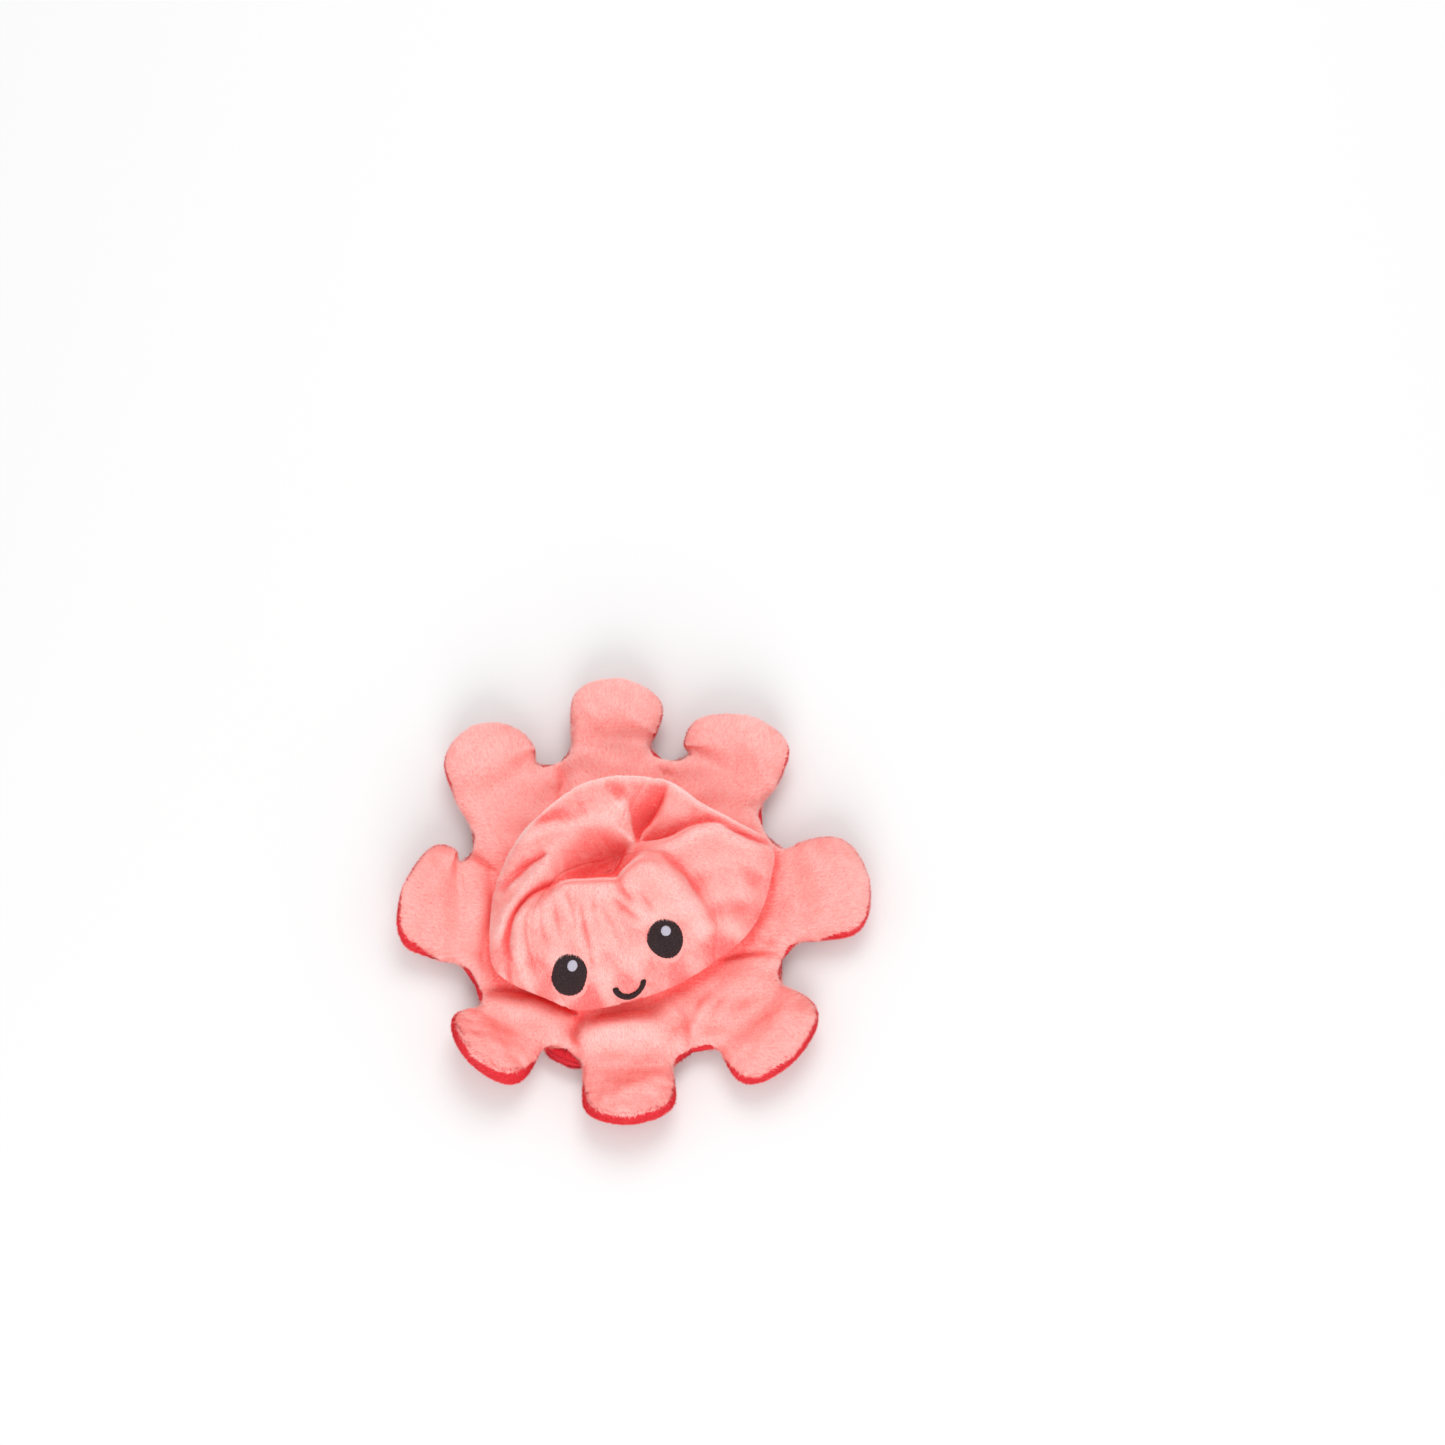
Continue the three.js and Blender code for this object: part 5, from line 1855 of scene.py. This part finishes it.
@dataclass
class Filling:
    """The fibre between the coral head and the crimson crown, out into the skirt."""

    head: Head
    crown: "Crown"
    skirt: Skirt
    under_cloth: float = 3.2
    past_mouth: float = 0.06
    past_power: float = 6
    mouth_power: float = 12
    skirt_share: float = 0.62
    skirt_top: float = 6.5
    rim_rise: float = 2.2
    fold_reach: float = 1.5
    fold_room: float = 1
    every: int = 4
    rows: tuple[int, int, int] = (20, 10, 44)

    def build(self, finishes: Finishes) -> None:
        """Makes the filling: over the crown, along the floor, back over the skirt and under the head's cloth.

        Args:
            finishes: The toy's materials.
        """
        edge = self.skirt.edge(1, self.under_cloth)[0][:: -self.every]
        bearing = self.head.bearing(edge)
        over, flat, under = (np.linspace(0, 1, count)[:, None] for count in self.rows)
        above = self.over_crown(bearing, over)
        under_head = self.head.radius(bearing) * self.head.base_share - self.under_cloth
        start, end = above[-1, :, :2], self.head.from_pole(bearing, under_head)
        far = end + (edge - end) * self.skirt_share
        floor = raised(start + (far - start) * flat[..., None], self.under_cloth + self.rim_rise * flat**3)
        back = raised(far + (end - far) * flat[..., None], self.skirt_top)
        side, top = self.under_sides(bearing, flat), self.under_crown(bearing, under)
        grid = np.concatenate([above, *(part[1:] for part in (floor, back, side, top))])
        sheet = Sheet(grid, ringed=True)
        body = Body(grid.reshape(-1, 3), sheet.triangles(), grid_places(sheet, MAP_EDGE, 1 - 2 * MAP_EDGE))
        piece = add_piece("fibre_filling", merged(body), finishes.fibre)
        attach(piece, SKIRT_BODY)
        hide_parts("body_filling")

    def over_crown(self, bearing: Array, rows: Array) -> Array:
        """The lining over the crown, from the pole out, which comes down on its mouth by (1 - share^12)."""
        share = np.sin(rows * np.pi / 2)
        mouth = self.head.radius(bearing) * self.crown.mouth_share
        plan = self.head.from_pole(np.broadcast_to(bearing, (len(rows), len(bearing))), mouth * share)
        points = raised(plan, self.crown.height(plan) + self.under_cloth * (1 - share**self.mouth_power))
        points[..., :2] += (plan - self.head.pole) * self.past_mouth * share[..., None] ** self.past_power
        return points

    def under_sides(self, bearing: Array, rows: Array) -> Array:
        """The side under the head's cloth, up to the widest line."""
        base = self.head.base_share
        reach = self.head.radius(bearing) * (base + (1 - base) * smooth(rows)) - self.under_cloth
        rise = rows * (self.head.widest_height - self.skirt_top)
        return raised(self.head.from_pole(bearing + 0 * rows, reach), self.skirt_top + rise)

    def under_crown(self, bearing: Array, rows: Array) -> Array:
        """The top under the slumped head's cloth, from the widest line in to the pole."""
        head = self.head
        share = np.sin((1 - rows) * np.pi / 2)
        plan = head.from_pole(bearing + 0 * share, (head.radius(bearing) - self.under_cloth) * share)
        low = head.relief.lowered(self.fold_reach).at(plan) - self.under_cloth - self.fold_room
        return raised(plan, head.rounded(low, share))


# The studio


@dataclass(frozen=True)
class Studio:
    """The camera at the photograph's angle, the pale floor and the soft lamps."""

    position: Triple = (-0.1179, -0.5066, 1.8726)
    right: Triple = (0.9365, -0.3504, -0.0155)
    down: Triple = (-0.3383, -0.8909, -0.3030)
    sensor: float = 36
    photo_width: float = 1445
    photo_focal: float = 4633
    floor_colour: Colour = (0.80, 0.80, 0.80)
    floor_reach: float = 6.0
    lamp_places: tuple[tuple[str, Triple, float, float], ...] = (
        ("over", (0.38, 0.62, 1.25), 0.9, 6.8),
        ("front", (-0.45, -1.3, 0.95), 1.2, 14.0),
    )
    room_light: float = 0.76

    def place(
        self, name: str, data: bpy.types.ID, axes: tuple[Array, Array, Array], position: Triple
    ) -> bpy.types.Object:
        """Puts a camera or a lamp in the scene, with its own axes along given ways."""
        pose = np.eye(4)
        pose[:3, :3] = np.stack(axes, axis=1)
        pose[:3, 3] = position
        new = bpy.data.objects.new(name, data)
        new.matrix_world = Matrix(pose.tolist())
        bpy.context.collection.objects.link(new)
        return new

    def camera(self) -> None:
        """Places the camera, whose view runs along right times down."""
        right = unit(np.array(self.right))
        forward = unit(np.cross(right, self.down))
        data = bpy.data.cameras.new("camera")
        data.lens = self.photo_focal / self.photo_width * self.sensor
        data.sensor_width = self.sensor
        axes = right, np.cross(right, forward), -forward
        bpy.context.scene.camera = self.place("camera", data, axes, self.position)

    def floor(self) -> None:
        """Lays the matt floor."""
        mesh = bpy.data.meshes.new("floor")
        reach = self.floor_reach
        corners = [(-reach, -reach, 0), (reach, -reach, 0), (reach, reach, 0), (-reach, reach, 0)]
        mesh.from_pydata(corners, [], [range(len(corners))])
        floor = bpy.data.objects.new("floor", mesh)
        bpy.context.collection.objects.link(floor)
        material = bpy.data.materials.new("floor")
        material.use_nodes = True
        nodes = Nodes(material.node_tree)
        matt = nodes.add("BsdfDiffuse", {"Color": rgba(self.floor_colour)})
        nodes.add("OutputMaterial", {"Surface": matt.outputs[0]})
        mesh.materials.append(material)

    def lamps(self) -> None:
        """Hangs two large soft lamps: one over the toy, towards its back, and one in front of it."""
        for name, position, size, power in self.lamp_places:
            data = bpy.data.lights.new(name, "AREA")
            data.shape = "DISK"
            data.size = size
            data.energy = power
            back = unit(np.array(position))
            side = unit(np.cross([0, 0, 1], back))
            self.place(name, data, (side, np.cross(back, side), back), position)

    def room(self) -> None:
        """Makes the pale room, which the camera and mirrors see as white."""
        world = bpy.data.worlds.new("room")
        bpy.context.scene.world = world
        world.use_nodes = True
        nodes = Nodes(world.node_tree)
        path = nodes.add("LightPath")
        seen = nodes.math("MAXIMUM", path.outputs["Is Camera Ray"], path.outputs["Is Glossy Ray"])
        strength = nodes.math("ADD", nodes.math("MULTIPLY", seen, 1 - self.room_light), self.room_light)
        sky = nodes.add("Background", {"Color": (1, 1, 1, 1), "Strength": strength})
        nodes.add("OutputWorld", {"Surface": sky.outputs[0]})

    def build(self) -> None:
        """Sets the whole studio up."""
        self.camera()
        self.floor()
        self.lamps()
        self.room()
        bpy.context.scene.view_settings.view_transform = "Standard"


GLINT_SIZE = (4.6, 5.2)
# bearing, heading, reach, neck, lobe, puff, lift and roll of each arm
ARM_SIZES = (
    (119, 95, 36, 18, 19, 11, 3, 1.2),
    (76.5, 60, 30.2, 18.5, 20.5, 11, 3, 1.2),
    (31, 55, 28.5, 19.5, 21.5, 11, 3, 1.6),
    (-18, -9, 33, 20, 22.5, 11, 2, 2),
    (-65, -65, 29, 18.5, 23, 10, 4, 2.6),
    (-111, -107, 27.5, 19, 20, 10, 7, 3.6),
    (-152.5, -157, 28, 15, 20, 11, 10, 5),
    (163.5, 139, 28.5, 20, 23, 11, 9, 3.4),
)


def ovals(face: str, thing: str, places: tuple[Pair, ...], seed: int, **looks: object) -> tuple[Oval, ...]:
    """The left and the right oval of a face: its eyes or their glints."""
    return tuple(
        Oval(f"{face}_{side}_{thing}_stitches", f"{face}_{side}_{thing}", place, seed=seed + number, **looks)
        for number, (side, place) in enumerate(zip(("left", "right"), places))
    )


def coral_face(head: Head) -> Face:
    """The smiling face on the coral head."""
    glint = {"raise_by": 0.85, "sunk": 0.2, "size": GLINT_SIZE}
    return Face(
        ovals("face", "eye", ((-35.3, -26.8), (6.5, -28.0)), 3, tilt=30),
        ovals("face", "eye_glint", ((-32.8, -24.4), (7.7, -25.1)), 5, tilt=30, **glint),
        Smile("face_smile_stitches", "face_smile", (-13.4, -38.8), 57, 0.4, 0.7, stroke=2.5, start=176),
        head.crown_height,
    )


def crimson_face(crown: Crown) -> Face:
    """The frowning face on the crimson crown, whose stitches stand out downwards."""
    glint = {"raise_by": -0.85, "sunk": -0.2, "size": GLINT_SIZE}
    stitched = {"raise_by": -0.35, "sunk": -1.1}
    return Face(
        ovals("hidden_face", "eye", ((-18, -9), (7, -9)), 13, tilt=20, **stitched),
        ovals("hidden_face", "eye_glint", ((-16.4, -5.6), (8.6, -5.6)), 15, tilt=20, **glint),
        Smile("hidden_face_frown_stitches", "hidden_face_frown", (-5.5, -22), 40, start=5, **stitched),
        crown.height,
        below=True,
    )


def main() -> None:
    """Builds the toy, sub-assembly by sub-assembly, in its studio."""
    logging.basicConfig(level=logging.INFO, format="%(name)s: %(message)s")
    Studio().build()
    finishes = Finishes()
    head = Head()
    face = coral_face(head)
    head.build(finishes, face.bare)
    face.build(finishes)
    crown = Crown(head)
    hidden = crimson_face(crown)
    crown.build(finishes, hidden.bare)
    hidden.build(finishes)
    ring = Ring()
    arms = tuple(Arm(number + 1, *sizes, ring=ring) for number, sizes in enumerate(ARM_SIZES))
    skirt = Skirt(arms, head, ring)
    skirt.build(finishes)
    Filling(head, crown, skirt).build(finishes)
    bpy.context.view_layer.update()


if __name__ == "__main__":
    main()
